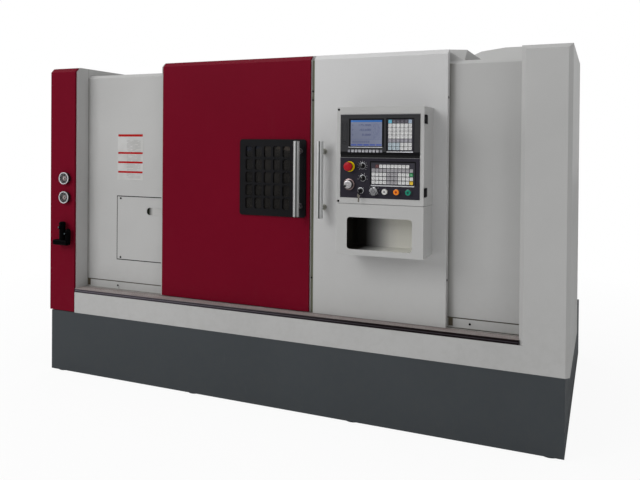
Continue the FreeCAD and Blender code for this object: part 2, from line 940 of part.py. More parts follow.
def door_hood():
    """Hood above the opening with a folded right-hand corner, and the header below it."""
    hood_front = panel_face + bevel
    back_y = front + hood_back
    section = [(hood_front, roof_height(hood_front)), (back_y, roof_height(back_y)),
               (hood_front + hood_lean, hood_top), (hood_front, hood_top - hood_front_drop)]
    hood = along_x(section, hood_left, hood_right)
    corner = [V(hood_right, hood_front, roof_height(hood_front)),
              V(hood_right - hood_corner_run, hood_front, hood_top - hood_front_drop),
              V(hood_right, hood_front + hood_lean, hood_top)]
    middle = (corner[0] + corner[1] + corner[2]) * (1 / 3)
    outward = (corner[2] - corner[0]).cross(corner[1] - corner[0]).normalize()
    if outward.z < 0:
        outward = outward * -1
    cut_face = face_of([middle + (point - middle) * hood_cut_scale for point in corner])
    wedge = cut_face.extrude(outward * hood_cut_reach)
    header = block(opening_left, opening_right, panel_face, panel_face + sheet,
                   panel_top - header_height, panel_top)
    head_line = [(panel_face, panel_top), (panel_face + bevel, eave_height),
                 (hood_front + 2 * sheet, roof_height(hood_front + 2 * sheet))]
    head_bevel = along_x(bent_sheet(head_line[::-1], sheet), opening_left, opening_right)
    return fused(hood.cut(wedge), header, head_bevel)


def roof_riser():
    """Raised part of the roof in front of the cabinet's cooling duct."""
    y0 = front + hood_back
    section = [(y0, roof_height(y0) - sheet), (rear_wall, roof_height(y0) - sheet),
               (rear_wall, ridge_height + riser_height),
               (y0 + riser_lean, ridge_height + riser_height)]
    top = ridge_height + riser_height
    foot = roof_height(y0) - sheet
    outline = [(riser_left, foot), (riser_left, top - riser_end_drop),
               (riser_left + riser_end_run, top - riser_shoulder_drop),
               (riser_left + riser_shoulder_run, top), (right_cover_inner, top),
               (right_cover_inner, foot)]
    return along_x(section, riser_left, right_cover_inner).common(
        along_y(outline, y0, rear_wall))


def pressure_gauges():
    """Two round gauges with a raised rim."""
    x = -half_width + gauge_from_left
    gauges = []
    case = gauge_radius - gauge_case_step
    dial = gauge_radius - gauge_rim - gauge_bezel_slope
    for z in gauge_heights:
        profile = [(0, 0), (0, case), (gauge_rim - gauge_depth, case),
                   (gauge_rim - gauge_depth, gauge_radius), (-gauge_depth, gauge_radius),
                   (-gauge_depth, gauge_radius - gauge_rim),
                   (gauge_bore_depth - gauge_depth, dial), (gauge_bore_depth - gauge_depth, 0)]
        gauges.append(turned(profile, V(x, front, z), axis_y))
    return Part.makeCompound(gauges)


def air_centres():
    """X of the filter regulator and of the oiler, and their shared Y."""
    first = -half_width + air_block_left + air_regulator_left
    return first, first + air_bowl_spacing, front - air_block_reach / 2 - air_centre_shift


def air_filter_unit():
    """Manifold block on a bracket, with a regulator body, an oiler bowl and two port plugs."""
    x0 = -half_width + air_block_left
    regulator_x, oiler_x, y = air_centres()
    z = air_block_bottom + air_block_height
    back_y = front - air_block_reach + air_block_depth
    manifold = block(x0, x0 + air_block_length, front - air_block_reach, back_y,
                     air_block_bottom, z)
    manifold = manifold.makeFillet(air_block_round, [edge for edge in manifold.Edges
                                                     if edge.Length > air_block_length - past])
    bracket = block(x0 + air_bracket_left, x0 + air_bracket_left + air_bracket_width,
                    back_y - air_bracket_sink, front, air_block_bottom + air_bracket_drop,
                    z - air_bracket_drop)
    regulator = cylinder(V(regulator_x, y, z - bowl_sink), axis_z, regulator_radius,
                         regulator_height + bowl_sink)
    dome = Part.makeSphere(oiler_radius, V(oiler_x, y, z + oiler_height))
    oiler = cylinder(V(oiler_x, y, z - bowl_sink), axis_z, oiler_radius, oiler_height + bowl_sink)
    plugs = []
    for x, radius, height in ((regulator_x, regulator_radius, air_plug_heights[0]),
                              (oiler_x, oiler_radius, air_plug_heights[1])):
        start = V(x, y - radius + air_plug_sink, z + height)
        plugs.append(cylinder(start, air_plug_direction, air_plug_radius, air_plug_length))
    return fused(manifold, bracket, regulator, oiler, dome, *plugs)


def regulator_knob():
    """Ribbed knob on top of the pressure regulator."""
    x, _, y = air_centres()
    z = air_block_bottom + air_block_height + regulator_height + knob_gap
    knob = cylinder(V(x, y, z), axis_z, regulator_knob_radius, regulator_knob_height)
    top = z + regulator_knob_height - past
    knob = bevelled(knob, knob_bevel, lambda centre: centre.z > top)
    notches = []
    for index in range(knob_notch_count):
        angle = index * 2 * pi / knob_notch_count
        centre = V(x + regulator_knob_radius * cos(angle), y + regulator_knob_radius * sin(angle), z)
        notches.append(cylinder(centre, axis_z, knob_notch_radius, regulator_knob_height))
    return knob.cut(Part.makeCompound(notches))


# ---------------------------------------------------------------------------
# Sliding doors
# ---------------------------------------------------------------------------

def door_rail(x0, x1, sheet_back):
    """Rail along the back of a door's front sheet, on a web."""
    left = x0 + door_rail_end_gap
    right = x1 - door_rail_end_gap
    rail = block(left, right, rail_front(), rail_front() + door_rail_thickness,
                 rail_bottom, rail_top)
    web = block(left, right, sheet_back - past, rail_front() + past,
                rail_bottom + door_rail_web_margin, rail_top - door_rail_web_margin)
    return fused(rail, web)


def door_guides(x0, x1):
    """Two blades at the foot of a door that run in the track groove."""
    y = groove_centre()
    half = door_guide_thickness / 2
    foot = track_top - track_groove_depth + door_guide_foot_gap
    blades = []
    for x in (x0 + door_guide_inset, x1 - door_guide_inset - door_guide_length):
        blade = block(x, x + door_guide_length, y - half, y + half,
                      foot, door_bottom + door_guide_rise)
        arm = block(x, x + door_guide_length, door_face + door_sheet, y + half,
                    door_bottom, door_bottom + door_guide_rise)
        blades.append(fused(blade, arm))
    return blades


def window_corner():
    """Left and lower edge of the window frame."""
    return left_door_right - window_right_margin - window_width, window_sill


def window_hole(margin, y0, y1):
    """Block that cuts the window through the door, a margin inside the frame."""
    x, z = window_corner()
    return rounded_block(x + margin, x + window_width - margin, y0, y1,
                         z + margin, z + window_height - margin, window_radius)


def left_door():
    """Grey body of the left door, behind its red skin."""
    y0 = door_face + skin_depth
    top = door_top - body_drop
    outer = bevelled(block(left_door_left, left_door_right, y0, door_back, door_bottom, top),
                     head_bevel - body_drop, head_edge(y0, top))
    inner = block(left_door_left + door_sheet, left_door_right - door_sheet, y0 + door_sheet,
                  door_back + past, door_bottom + door_sheet, top - door_sheet)
    inner = bevelled(inner, head_bevel - body_drop - door_sheet * (2 - 2 ** 0.5),
                     head_edge(y0 + door_sheet, top - door_sheet))
    lip = block(left_door_right - past, left_door_right + meeting_strip_width,
                y0, y0 + door_sheet, door_bottom, door_top - head_bevel)
    in_front = block(left_door_left, left_door_right, front, y0 + past, 0, cover_height)
    guides = [guide.cut(in_front) for guide in door_guides(left_door_left, left_door_right)]
    rail = door_rail(left_door_left, left_door_right, y0 + door_sheet)
    body = fused(outer.cut(inner), lip, rail, *guides)
    return body.cut(window_hole(glass_overlap + glass_backing, front, door_back + past))


def left_door_skin():
    """Red pan that faces the left door."""
    skin = folded_skin(left_door_left + skin_lip, left_door_right - skin_edge,
                       door_face, door_bottom + skin_foot, door_top)
    return skin.cut(window_hole(glass_overlap, front, door_back))


def cell(x, z):
    """Eight-sided cell of the grille with its lower left corner at x, z."""
    x1 = x + cell_width
    z1 = z + cell_height
    cut = cell_corner
    outline = [(x + cut, z), (x1 - cut, z), (x1, z + cut), (x1, z1 - cut),
               (x1 - cut, z1), (x + cut, z1), (x, z1 - cut), (x, z + cut)]
    return along_y(outline, door_face - window_frame_depth - past, door_face + past)


def window_grille():
    """Black window frame with a grid of eight-sided cells."""
    x, z = window_corner()
    frame = rounded_block(x, x + window_width, door_face - window_frame_depth, door_face,
                          z, z + window_height, window_radius)
    cells = []
    first_x = x + cell_left_margin
    first_z = z + (window_height - cell_pitch_z * (cell_rows - 1) - cell_height) / 2
    for column in range(cell_columns):
        for row in range(cell_rows):
            cell_x = first_x + column * cell_pitch_x
            cell_z = first_z + row * cell_pitch_z
            cells.append(cell(cell_x, cell_z))
    return frame.cut(Part.makeCompound(cells))


def window_glass():
    """Laminated pane between the grille and the door body."""
    x, z = window_corner()
    margin = glass_overlap + glass_edge_gap
    return rounded_block(x + margin, x + window_width - margin, door_face, door_face + skin_depth,
                         z + margin, z + window_height - margin, window_radius)


def handle(x, door_surface):
    """Round bar on two flanged posts."""
    y = door_face - handle_reach
    bar = cylinder(V(x, y, handle_bottom), axis_z, handle_radius, handle_length)
    bar = bar.makeChamfer(handle_end_bevel, [edge for edge in bar.Edges if edge.Closed])
    posts = []
    for z in (handle_bottom + handle_post_inset, handle_bottom + handle_length - handle_post_inset):
        posts.append(cylinder(V(x, y, z), axis_y, handle_post_radius, door_surface - y))
        posts.append(cylinder(V(x, door_surface - handle_flange_thickness, z), axis_y,
                              handle_flange_radius, handle_flange_thickness))
    return fused(bar, *posts)


def left_door_handle():
    """Pull bar that stands on the window frame's right margin."""
    return handle(left_door_right - left_handle_inset, door_face - window_frame_depth)


def right_door_handle():
    """Pull bar beside the meeting edge of the right door."""
    return handle(right_door_left + right_handle_inset, door_face)


def right_door():
    """Grey door pan that carries the control box."""
    body = pan(right_door_left, right_door_right, door_face, door_back, door_bottom, door_top,
               door_sheet)
    rail = door_rail(right_door_left, right_door_right, door_face + door_sheet)
    return fused(body, rail, *door_guides(right_door_left, right_door_right))


# ---------------------------------------------------------------------------
# Control box
# ---------------------------------------------------------------------------

def control_box():
    """Box with a storage pocket below and an opening for the hinged panel above."""
    upper_face = control_face + control_door_depth + seat_gap
    upper = block(control_left_x, control_right_x, upper_face, door_face,
                  control_split, control_top)
    lower = rounded_block(control_left_x, control_right_x, control_face, door_face,
                          control_bottom, control_split, control_radius)
    cavity = block(control_left_x + control_wall, control_right_x - control_wall,
                   upper_face - past, door_face - control_wall,
                   control_split + control_wall, control_top - control_wall)
    pocket_x = control_left_x + (control_width - pocket_width) / 2
    pocket = rounded_block(pocket_x, pocket_x + pocket_width, control_face - past,
                           control_face + pocket_depth, pocket_sill,
                           pocket_sill + pocket_height, pocket_radius)
    return fused(upper, lower).cut(cavity).cut(pocket)


def control_box_door():
    """Hinged upper panel with cut-outs for the display and the operator panel."""
    foot = control_split + control_seam
    door = rounded_block(control_left_x, control_right_x, control_face,
                         control_face + control_door_depth, foot, control_top, control_radius)
    hollow = block(control_left_x + control_door_sheet, control_right_x - control_door_sheet,
                   control_face + control_door_sheet, control_face + control_door_depth + past,
                   foot + control_door_sheet, control_top - control_door_sheet)
    door = door.cut(hollow)
    for bottom, top in ((operator_bottom, operator_top), (display_bottom, display_top)):
        door = door.cut(unit_body(bottom, top, unit_hole_gap, control_face - past))
    return fused(door, *[door_knuckle(z) for z in hinge_heights])


def door_knuckle(z):
    """Middle knuckle of a hinge on its tab, both part of the hinged panel."""
    low = z - hinge_length / 6 + knuckle_gap
    high = z + hinge_length / 6 - knuckle_gap
    knuckle = cylinder(V(hinge_x, hinge_y, low), axis_z, hinge_radius, high - low)
    tab_front = control_face + hinge_tab_setback
    tab = block(control_right_x - hinge_tab_sink, control_right_x + hinge_tab_reach,
                tab_front, tab_front + hinge_tab_depth, low, high)
    bore = cylinder(V(hinge_x, hinge_y, low - past), axis_z, hinge_radius / 2 + pin_clearance,
                    high - low + 2 * past)
    return fused(knuckle, tab).cut(bore)


def box_hinges():
    """Fixed leaves and pins of the two hinges on the right side of the box."""
    hinges = []
    for z in hinge_heights:
        leaf = block(control_right_x, control_right_x + hinge_leaf,
                     control_face + control_door_depth + seat_gap,
                     control_face + hinge_leaf_depth,
                     z - hinge_length / 2, z + hinge_length / 2)
        pin = cylinder(V(hinge_x, hinge_y, z - hinge_length / 2), axis_z, hinge_radius / 2,
                       hinge_length)
        pieces = [pin]
        for start in (z - hinge_length / 2, z + hinge_length / 6):
            pieces.append(cylinder(V(hinge_x, hinge_y, start), axis_z, hinge_radius,
                                   hinge_length / 3))
            pieces.append(block(control_right_x + hinge_tab_reach, control_right_x + hinge_leaf,
                                hinge_y, control_face + hinge_leaf_depth,
                                start, start + hinge_length / 3))
        hinges.append(fused(leaf, *pieces))
    return Part.makeCompound(hinges)


def unit_body(bottom, top, growth, y0):
    """Body of a panel unit behind its front plate, grown all round."""
    return block(unit_left + unit_inset - growth, unit_left + unit_width - unit_inset + growth,
                 y0, unit_face + unit_depth,
                 bottom + unit_inset - growth, top - unit_inset + growth)


def unit(bottom, top):
    """Front plate and body of a panel unit, with a bevel around the plate's face."""
    plate = block(unit_left, unit_left + unit_width, unit_face, control_face, bottom, top)
    plate = bevelled(plate, unit_bevel, lambda centre: abs(centre.y - unit_face) < 1e-6)
    return fused(plate, unit_body(bottom, top, 0, control_face))


def key_field(left, bottom, columns, rows, size, pitch_x, pitch_z):
    """Keys of a grid, and the shallow tray in the front plate that holds them."""
    floor = unit_face + key_tray_depth
    pads = []
    for column in range(columns):
        for row in range(rows):
            x = left + column * pitch_x
            z = bottom + row * pitch_z
            pads.append(block(x, x + size, floor - key_proud, floor, z, z + size))
    right = left + (columns - 1) * pitch_x + size
    top = bottom + (rows - 1) * pitch_z + size
    tray = block(left - key_tray_margin, right + key_tray_margin, unit_face - past, floor,
                 bottom - key_tray_margin, top + key_tray_margin)
    return pads, tray


def display_unit():
    """Display with soft keys below it, a card slot and a block of data keys."""
    body = unit(display_bottom, display_top)
    screen_x = unit_left + screen_left
    screen_z = display_bottom + screen_bottom
    screen = block(screen_x, screen_x + screen_width, unit_face - past,
                   unit_face + screen_recess, screen_z, screen_z + screen_height)
    slot_x = unit_left + card_slot_left
    slot_z = display_bottom + card_slot_bottom
    slot = block(slot_x, slot_x + card_slot_width, unit_face - past,
                 unit_face + card_slot_depth, slot_z, slot_z + card_slot_height)
    data_pads, data_tray = key_field(unit_left + data_key_left, display_bottom + data_key_bottom,
                                     data_key_columns, data_key_rows, data_key_size,
                                     data_key_pitch_x, data_key_pitch_z)
    soft_pads, _ = key_field(unit_left + soft_key_left, display_bottom + soft_key_bottom,
                             soft_key_count, 1, soft_key_size, soft_key_pitch, 0)
    soft_pads = [pad.translated(V(0, -key_tray_depth, 0)) for pad in soft_pads]
    return fused(body.cut(screen).cut(slot).cut(data_tray), *data_pads, *soft_pads)


def panel_point(place, proud=0.0):
    """Point on the operator panel's face from (from left, from foot)."""
    return V(unit_left + place[0], unit_face - proud, operator_bottom + place[1])


def operating_places():
    """Places of everything that is pushed or turned on the operator panel."""
    buttons = [(offset, button_row_height) for offset in button_offsets]
    return [stop_at, feed_knob_at, rapid_knob_at, handwheel_at, key_switch_at, dial_at] + buttons


def operator_panel():
    """Operator panel with its keys, the stop button's collar and the stem holes."""
    body = unit(operator_bottom, operator_top)
    collar = cylinder(panel_point(stop_at), V(0, -1, 0), stop_collar_radius, stop_collar_thickness)
    pads, tray = key_field(unit_left + operator_keys_left, operator_bottom + operator_keys_bottom,
                           operator_key_columns, operator_key_rows, operator_key_size,
                           operator_key_pitch_x, operator_key_pitch_z)
    top_row = operator_key_rows - 1
    missing = (top_row, operator_key_columns * operator_key_rows - 1)
    pads = [pad for index, pad in enumerate(pads) if index not in missing]
    body = fused(body.cut(tray), collar, *pads)
    holes = []
    hole_top = stop_collar_thickness + past
    for place in operating_places():
        holes.append(cylinder(panel_point(place, hole_top), axis_y, stem_radius + stem_clearance,
                              hole_top + stem_length + stop_travel + stem_hole_margin))
    return body.cut(Part.makeCompound(holes))


def stem(place, gap):
    """Stem that carries a knob or button in its hole, from a gap above the face."""
    return cylinder(panel_point(place, gap), axis_y, stem_radius, gap + stem_length)


def emergency_stop():
    """Mushroom head on a stem."""
    gap = stop_collar_thickness + stop_travel + knob_clearance
    crown = gap - stop_reach
    neck = stop_neck_radius
    profile = [(0, 0), (0, neck), (-stop_skirt / 2, neck), (-stop_skirt, stop_radius),
               (crown + stop_dome, stop_radius), (crown + stop_dome / 4, stop_radius * 0.8),
               (crown, stop_radius / 2), (crown, 0)]
    head = turned(profile, panel_point(stop_at, gap), axis_y)
    return fused(head, stem(stop_at, gap))


def selector(place):
    """Rotary selector: skirt, grip bar and stem."""
    gap = knob_clearance
    skirt = cylinder(panel_point(place, gap + selector_skirt), axis_y, selector_radius,
                     selector_skirt)
    centre = panel_point(place, gap + selector_height)
    grip = cylinder(centre, axis_y, selector_grip_radius, selector_height)
    side = selector_grip_radius + past
    cheek = block(centre.x + selector_grip_half, centre.x + side, centre.y - past,
                  centre.y + selector_grip_depth, centre.z - side, centre.z + side)
    other_cheek = cheek.translated(V(-selector_grip_half - side, 0, 0))
    return fused(skirt, grip.cut(cheek).cut(other_cheek), stem(place, gap))


def feed_override_knob():
    """Feed override selector."""
    return selector(feed_knob_at)


def rapid_override_knob():
    """Rapid override selector."""
    return selector(rapid_knob_at)


def handwheel():
    """Round pulse handwheel with a crank dimple."""
    base = panel_point(handwheel_at, knob_clearance)
    body = handwheel_radius - handwheel_step
    profile = [(0, 0), (0, handwheel_radius), (-handwheel_rim, handwheel_radius),
               (-handwheel_rim - handwheel_step / 2, body),
               (handwheel_step - handwheel_height, body),
               (-handwheel_height, handwheel_face_radius), (-handwheel_height, 0)]
    wheel = turned(profile, base, axis_y)
    dimple = cylinder(base + V(handwheel_radius - dimple_inset, -handwheel_height - past, 0),
                      axis_y, dimple_radius, dimple_depth + past)
    return fused(wheel.cut(dimple), stem(handwheel_at, knob_clearance))


def key_switch():
    """Round lock with its key, whose bow hangs below the shank."""
    centre = panel_point(key_switch_at, knob_clearance + key_lock_height)
    lock = cylinder(centre, axis_y, key_switch_radius, key_lock_height)
    half = key_thickness / 2
    shank = block(centre.x - half, centre.x + half, centre.y - key_shank_reach, centre.y,
                  centre.z - key_shank_width / 2, centre.z + key_shank_width / 2)
    bow = cylinder(centre + V(-half, -key_bow_reach, -key_bow_drop), axis_x, key_bow_radius,
                   key_thickness)
    return fused(lock, shank, bow, stem(key_switch_at, knob_clearance))


def spindle_override_dial():
    """Silver dial with a pointer groove across its face."""
    base = panel_point(dial_at, knob_clearance)
    profile = [(0, 0), (0, dial_radius), (-dial_rim, dial_radius),
               (-dial_rim, dial_face_radius + dial_rim),
               (-dial_height, dial_face_radius), (-dial_height, 0)]
    dial = turned(profile, base, axis_y)
    crown = base.y - dial_height
    mark = block(base.x - dial_mark_width / 2, base.x + dial_mark_width / 2,
                 crown - past, crown + dial_mark_depth, base.z, base.z + dial_radius)
    return fused(dial.cut(mark), stem(dial_at, knob_clearance))


def push_button(index):
    """Round button with a bevelled head."""
    place = (button_offsets[index], button_row_height)
    gap = button_travel + knob_clearance
    crown = panel_point(place, gap + button_height)
    head = cylinder(crown, axis_y, button_radius, button_height)
    head = bevelled(head, button_bevel, lambda centre: centre.y < crown.y + past)
    return fused(head, stem(place, gap))


# ---------------------------------------------------------------------------
# Bed and headstock
# ---------------------------------------------------------------------------

def slant_bed():
    """Cast slant bed with box ways, lightening pockets and lead screw brackets."""
    low = on_slope(-bed_face_down, 0)
    high = on_slope(bed_face_up, 0)
    top_back = high[0] + bed_top_width
    section = [(low[0], plinth_height), low, high, (top_back, high[1]),
               (top_back + bed_back_lean, plinth_height)]
    bed = along_x(section, bed_left, bed_right)
    ways = []
    for centre in (saddle_way_low, saddle_way_high, tail_way_low, tail_way_high):
        ways.append(slope_block(headstock_right, bed_right, centre - way_width / 2,
                                centre + way_width / 2, 0, way_height))
    brackets = []
    screw_end = screw_left - screw_bearing_length
    for x in (screw_end, bed_right - screw_bearing_length):
        bracket = slope_block(x, x + screw_bearing_length, screw_offset - screw_bracket_half,
                              screw_offset + screw_bracket_half,
                              0, screw_height + screw_bracket_half)
        brackets.append(bracket)
    bed = fused(bed, *ways, *brackets)
    bore = cylinder(slope_point(screw_end - past, screw_offset, screw_height), axis_x,
                    screw_radius + running_clearance, bed_right - screw_end + 2 * past)
    pockets = []
    pitch = (bed_right - bed_left) / bed_core_count
    sill = plinth_height + bed_core_sill
    for index in range(bed_core_count):
        x = bed_left + (index + 0.5) * pitch - bed_core_width / 2
        pockets.append(block(x, x + bed_core_width, top_back - bed_core_depth, back,
                             sill, sill + bed_core_height))
    return bed.cut(bore).cut(Part.makeCompound(pockets))


def spindle_axis(x):
    """Point on the spindle axis."""
    return V(x, spindle_y, spindle_height)


def headstock():
    """Cast headstock: round body on a foot that lies on the slanted face."""
    shoulder = headstock_radius - headstock_shoulder
    foot = slope_prism([(-headstock_foot_down, 0), (headstock_foot_down, 0),
                        (shoulder, bed_centre_height), (-shoulder, bed_centre_height)],
                       headstock_left, headstock_right)
    body = cylinder(spindle_axis(headstock_left), axis_x, headstock_radius, headstock_length)
    casting = fused(foot, body)
    bores = []
    for x in (headstock_left - past, headstock_right - bearing_length):
        bores.append(cylinder(spindle_axis(x), axis_x, bearing_outer_radius,
                              bearing_length + past))
    core = cylinder(spindle_axis(headstock_left), axis_x, headstock_core_radius, headstock_length)
    return casting.cut(core).cut(Part.makeCompound(bores))


def spindle_bearings():
    """Front and rear spindle bearings."""
    rings = []
    for x in (headstock_left, headstock_right - bearing_length):
        rings.append(ring(spindle_axis(x), axis_x, bearing_outer_radius,
                          spindle_radius + running_clearance, bearing_length))
    return Part.makeCompound(rings)


def spindle():
    """Hollow spindle with its nose flange and a stepped tail."""
    flange_left = spindle_nose - spindle_nose_length
    shoulder = headstock_left - spindle_shoulder
    profile = [(pulley_left, spindle_bore_radius), (pulley_left, spindle_tail_radius),
               (shoulder, spindle_tail_radius), (shoulder, spindle_radius),
               (flange_left, spindle_radius), (flange_left, spindle_nose_radius),
               (spindle_nose, spindle_nose_radius), (spindle_nose, spindle_bore_radius)]
    return turned(profile, spindle_axis(0), axis_x)


def grooved_rim(left, right, radius, bore):
    """Profile of a multi-groove pulley between two bore ends."""
    pitch = (right - left) / (pulley_groove_count + 1)
    profile = [(left, bore), (left, radius)]
    for index in range(pulley_groove_count):
        middle = left + (index + 1) * pitch
        flank = pitch * pulley_groove_flank
        profile += [(middle - flank, radius), (middle, radius - pulley_groove_depth),
                    (middle + flank, radius)]
    return profile + [(right, radius), (right, bore)]


def spindle_pulley():
    """Grooved pulley on the spindle tail."""
    profile = grooved_rim(pulley_left, pulley_right, pulley_radius, spindle_tail_radius)
    return turned(profile, spindle_axis(0), axis_x)


def chuck_cylinder():
    """Rotary hydraulic cylinder that draws the chuck jaws."""
    collar = cylinder_left + cylinder_collar_length
    profile = [(cylinder_left, spindle_bore_radius), (cylinder_left, cylinder_collar_radius),
               (collar, cylinder_collar_radius), (collar, cylinder_radius),
               (pulley_left, cylinder_radius), (pulley_left, spindle_bore_radius)]
    return turned(profile, spindle_axis(0), axis_x)


def about_spindle(solid, index):
    """Copy of a solid turned to one of the three jaw places."""
    turned_copy = solid.copy()
    turned_copy.rotate(spindle_axis(0), axis_x, index * 120)
    return turned_copy


def chuck_body():
    """Three-jaw power chuck with a through hole and three jaw slots."""
    profile = [(spindle_nose, chuck_bore_radius), (spindle_nose, chuck_radius - chuck_back_edge),
               (spindle_nose + chuck_back_edge, chuck_radius),
               (chuck_face - chuck_front_edge, chuck_radius),
               (chuck_face, chuck_radius - chuck_front_edge), (chuck_face, chuck_bore_radius)]
    chuck = turned(profile, spindle_axis(0), axis_x)
    slot_half = jaw_key_width / 2 + jaw_clearance
    slot = block(chuck_face - jaw_key_depth - jaw_clearance, chuck_face + past,
                 spindle_y - slot_half, spindle_y + slot_half,
                 spindle_height, spindle_height + chuck_radius + past)
    for index in range(3):
        chuck = chuck.cut(about_spindle(slot, index))
    return chuck


def chuck_jaw(index):
    """Stepped top jaw with the key that slides in its slot."""
    low = spindle_height + jaw_inner_radius
    high = low + jaw_length
    x0 = chuck_face + jaw_clearance
    half = jaw_width / 2
    key = block(chuck_face - jaw_key_depth, x0 + past, spindle_y - jaw_key_width / 2,
                spindle_y + jaw_key_width / 2, low + jaw_key_end, high - jaw_key_end)
    rise = jaw_length / jaw_step_count
    steps = []
    for step in range(jaw_step_count):
        steps.append(block(x0, x0 + jaw_height - step * jaw_step_height, spindle_y - half,
                           spindle_y + half, low + step * rise, low + (step + 1) * rise))
    jaw = fused(key, *steps)
    for side in (-1, 1):
        corner = [(spindle_y + side * (half + past), low - past),
                  (spindle_y + side * jaw_nose_half, low - past),
                  (spindle_y + side * (half + past), low + jaw_nose_height)]
        jaw = jaw.cut(along_x(corner, x0 - past, x0 + jaw_height + past))
    return about_spindle(jaw, index)


def loop_face(x, first, first_radius, second, second_radius):
    """Face bounded by two arcs and the two straight runs that touch both circles."""
    dy, dz = second[0] - first[0], second[1] - first[1]
    base = atan2(dz, dy)
    spread = acos((first_radius - second_radius) / hypot(dy, dz))

    def at(centre, radius, angle):
        return V(x, centre[0] + radius * cos(angle), centre[1] + radius * sin(angle))

    first_start = at(first, first_radius, base + spread)
    first_end = at(first, first_radius, base - spread)
    second_start = at(second, second_radius, base - spread)
    second_end = at(second, second_radius, base + spread)
    far_first = at(first, first_radius, base + pi)
    far_second = at(second, second_radius, base)
    edges = [Part.Arc(first_start, far_first, first_end).toShape(),
             Part.LineSegment(first_end, second_start).toShape(),
             Part.Arc(second_start, far_second, second_end).toShape(),
             Part.LineSegment(second_end, first_start).toShape()]
    return Part.Face(Part.Wire(edges))


def drive_belt():
    """Belt from the motor pulley to the spindle pulley."""
    x = (pulley_left + pulley_right - belt_width) / 2
    first, second = (spindle_y, spindle_height), (motor_y, motor_height)
    inner = [pulley_radius + belt_clearance, motor_pulley_radius + belt_clearance]
    outer = [radius + belt_thickness for radius in inner]
    solid = loop_face(x, first, outer[0], second, outer[1]).extrude(V(belt_width, 0, 0))
    hollow = loop_face(x, first, inner[0], second, inner[1]).extrude(V(belt_width, 0, 0))
    return solid.cut(hollow)


def spindle_motor():
    """Finned motor on two feet, with a bore for its shaft."""
    half = motor_size / 2
    motor_right = motor_left + motor_length
    centre = V(motor_left, motor_y, motor_height)
    body = block(motor_left, motor_right, motor_y - half, motor_y + half,
                 motor_height - half, motor_height + half)
    body = body.makeChamfer(motor_corner, [edge for edge in body.Edges
                                           if edge.Length > motor_length - past])
    gaps = []
    pitch = (motor_size - 2 * motor_fin_margin) / motor_fin_count
    for index in range(motor_fin_count):
        z = motor_height - half + motor_fin_margin + index * pitch
        for side_y in (motor_y - half - past, motor_y + half - motor_fin_depth):
            gaps.append(block(motor_left + motor_fin_start, motor_right - motor_fin_end, side_y,
                              side_y + motor_fin_depth + past, z, z + pitch / 2))
    box_left = motor_left + motor_box_start
    terminal = block(box_left, box_left + motor_box_length, motor_y - motor_box_length / 2,
                     motor_y + motor_box_length / 2,
                     motor_height + half, motor_height + half + motor_box_height)
    feet = []
    for x in (motor_left + motor_foot_start, motor_right - motor_foot_start - motor_foot_length):
        feet.append(block(x, x + motor_foot_length, motor_y - half - motor_foot_spread,
                          motor_y + half + motor_foot_spread,
                          plinth_height, plinth_height + motor_foot_height))
        feet.append(block(x, x + motor_foot_length, motor_y - half + motor_foot_web,
                          motor_y + half - motor_foot_web,
                          plinth_height, motor_height - half + past))
    bore = cylinder(centre - axis_x * past, axis_x, motor_shaft_radius + running_clearance,
                    motor_shaft_length + shaft_end_gap + past)
    return fused(body.cut(Part.makeCompound(gaps)), terminal, *feet).cut(bore)


def motor_pulley():
    """Grooved pulley with the motor shaft."""
    shaft_end = motor_left + motor_shaft_length
    rim = grooved_rim(pulley_left, pulley_right, motor_pulley_radius, 0)
    profile = rim[:-1] + [(pulley_right, motor_shaft_radius), (shaft_end, motor_shaft_radius),
                          (shaft_end, 0)]
    return turned(profile, V(0, motor_y, motor_height), axis_x)


# ---------------------------------------------------------------------------
# Carriage, turret and tailstock
# ---------------------------------------------------------------------------

def way_slots(low, high, floor, top, ways):
    """Underside outline of a slide, stepping up over each way."""
    outline = [(low, floor)]
    lift = way_height + slide_clearance
    half = way_width / 2 + slide_clearance
    for centre in ways:
        outline += [(centre - half, floor), (centre - half, lift),
                    (centre + half, lift), (centre + half, floor)]
    return outline + [(high, floor), (high, top), (low, top)]


def saddle():
    """Saddle on the upper ways, with cross rails and the cross drive bracket."""
    right = saddle_left + saddle_length
    outline = way_slots(saddle_low, saddle_high, saddle_floor, saddle_top,
                        (saddle_way_low, saddle_way_high))
    body = slope_prism(outline, saddle_left, right)
    rails = []
    for x in (saddle_left + cross_rail_inset, right - cross_rail_inset - cross_rail_width):
        rails.append(slope_block(x, x + cross_rail_width, saddle_low,
                                 saddle_high - cross_rail_end,
                                 saddle_top, saddle_top + cross_rail_height))
    middle = saddle_left + saddle_length / 2
    bracket = slope_block(middle - cross_bracket_half, middle + cross_bracket_half,
                          saddle_high - past, saddle_high + cross_bracket_length,
                          saddle_floor, cross_screw_level() + cross_bracket_rise)
    bore = cylinder(slope_point(saddle_left - past, screw_offset, screw_height), axis_x,
                    screw_radius + slide_clearance, saddle_length + 2 * past)
    cross_bore = cylinder(slope_point(middle, saddle_high - 2 * past, cross_screw_level()),
                          up_slope, cross_screw_radius + running_clearance,
                          cross_bracket_length + 3 * past)
    return fused(body, *rails, bracket).cut(bore).cut(cross_bore)


def cross_screw_level():
    """Height of the cross feed screw above the slanted face."""
    return (saddle_top + cross_slide_top) / 2


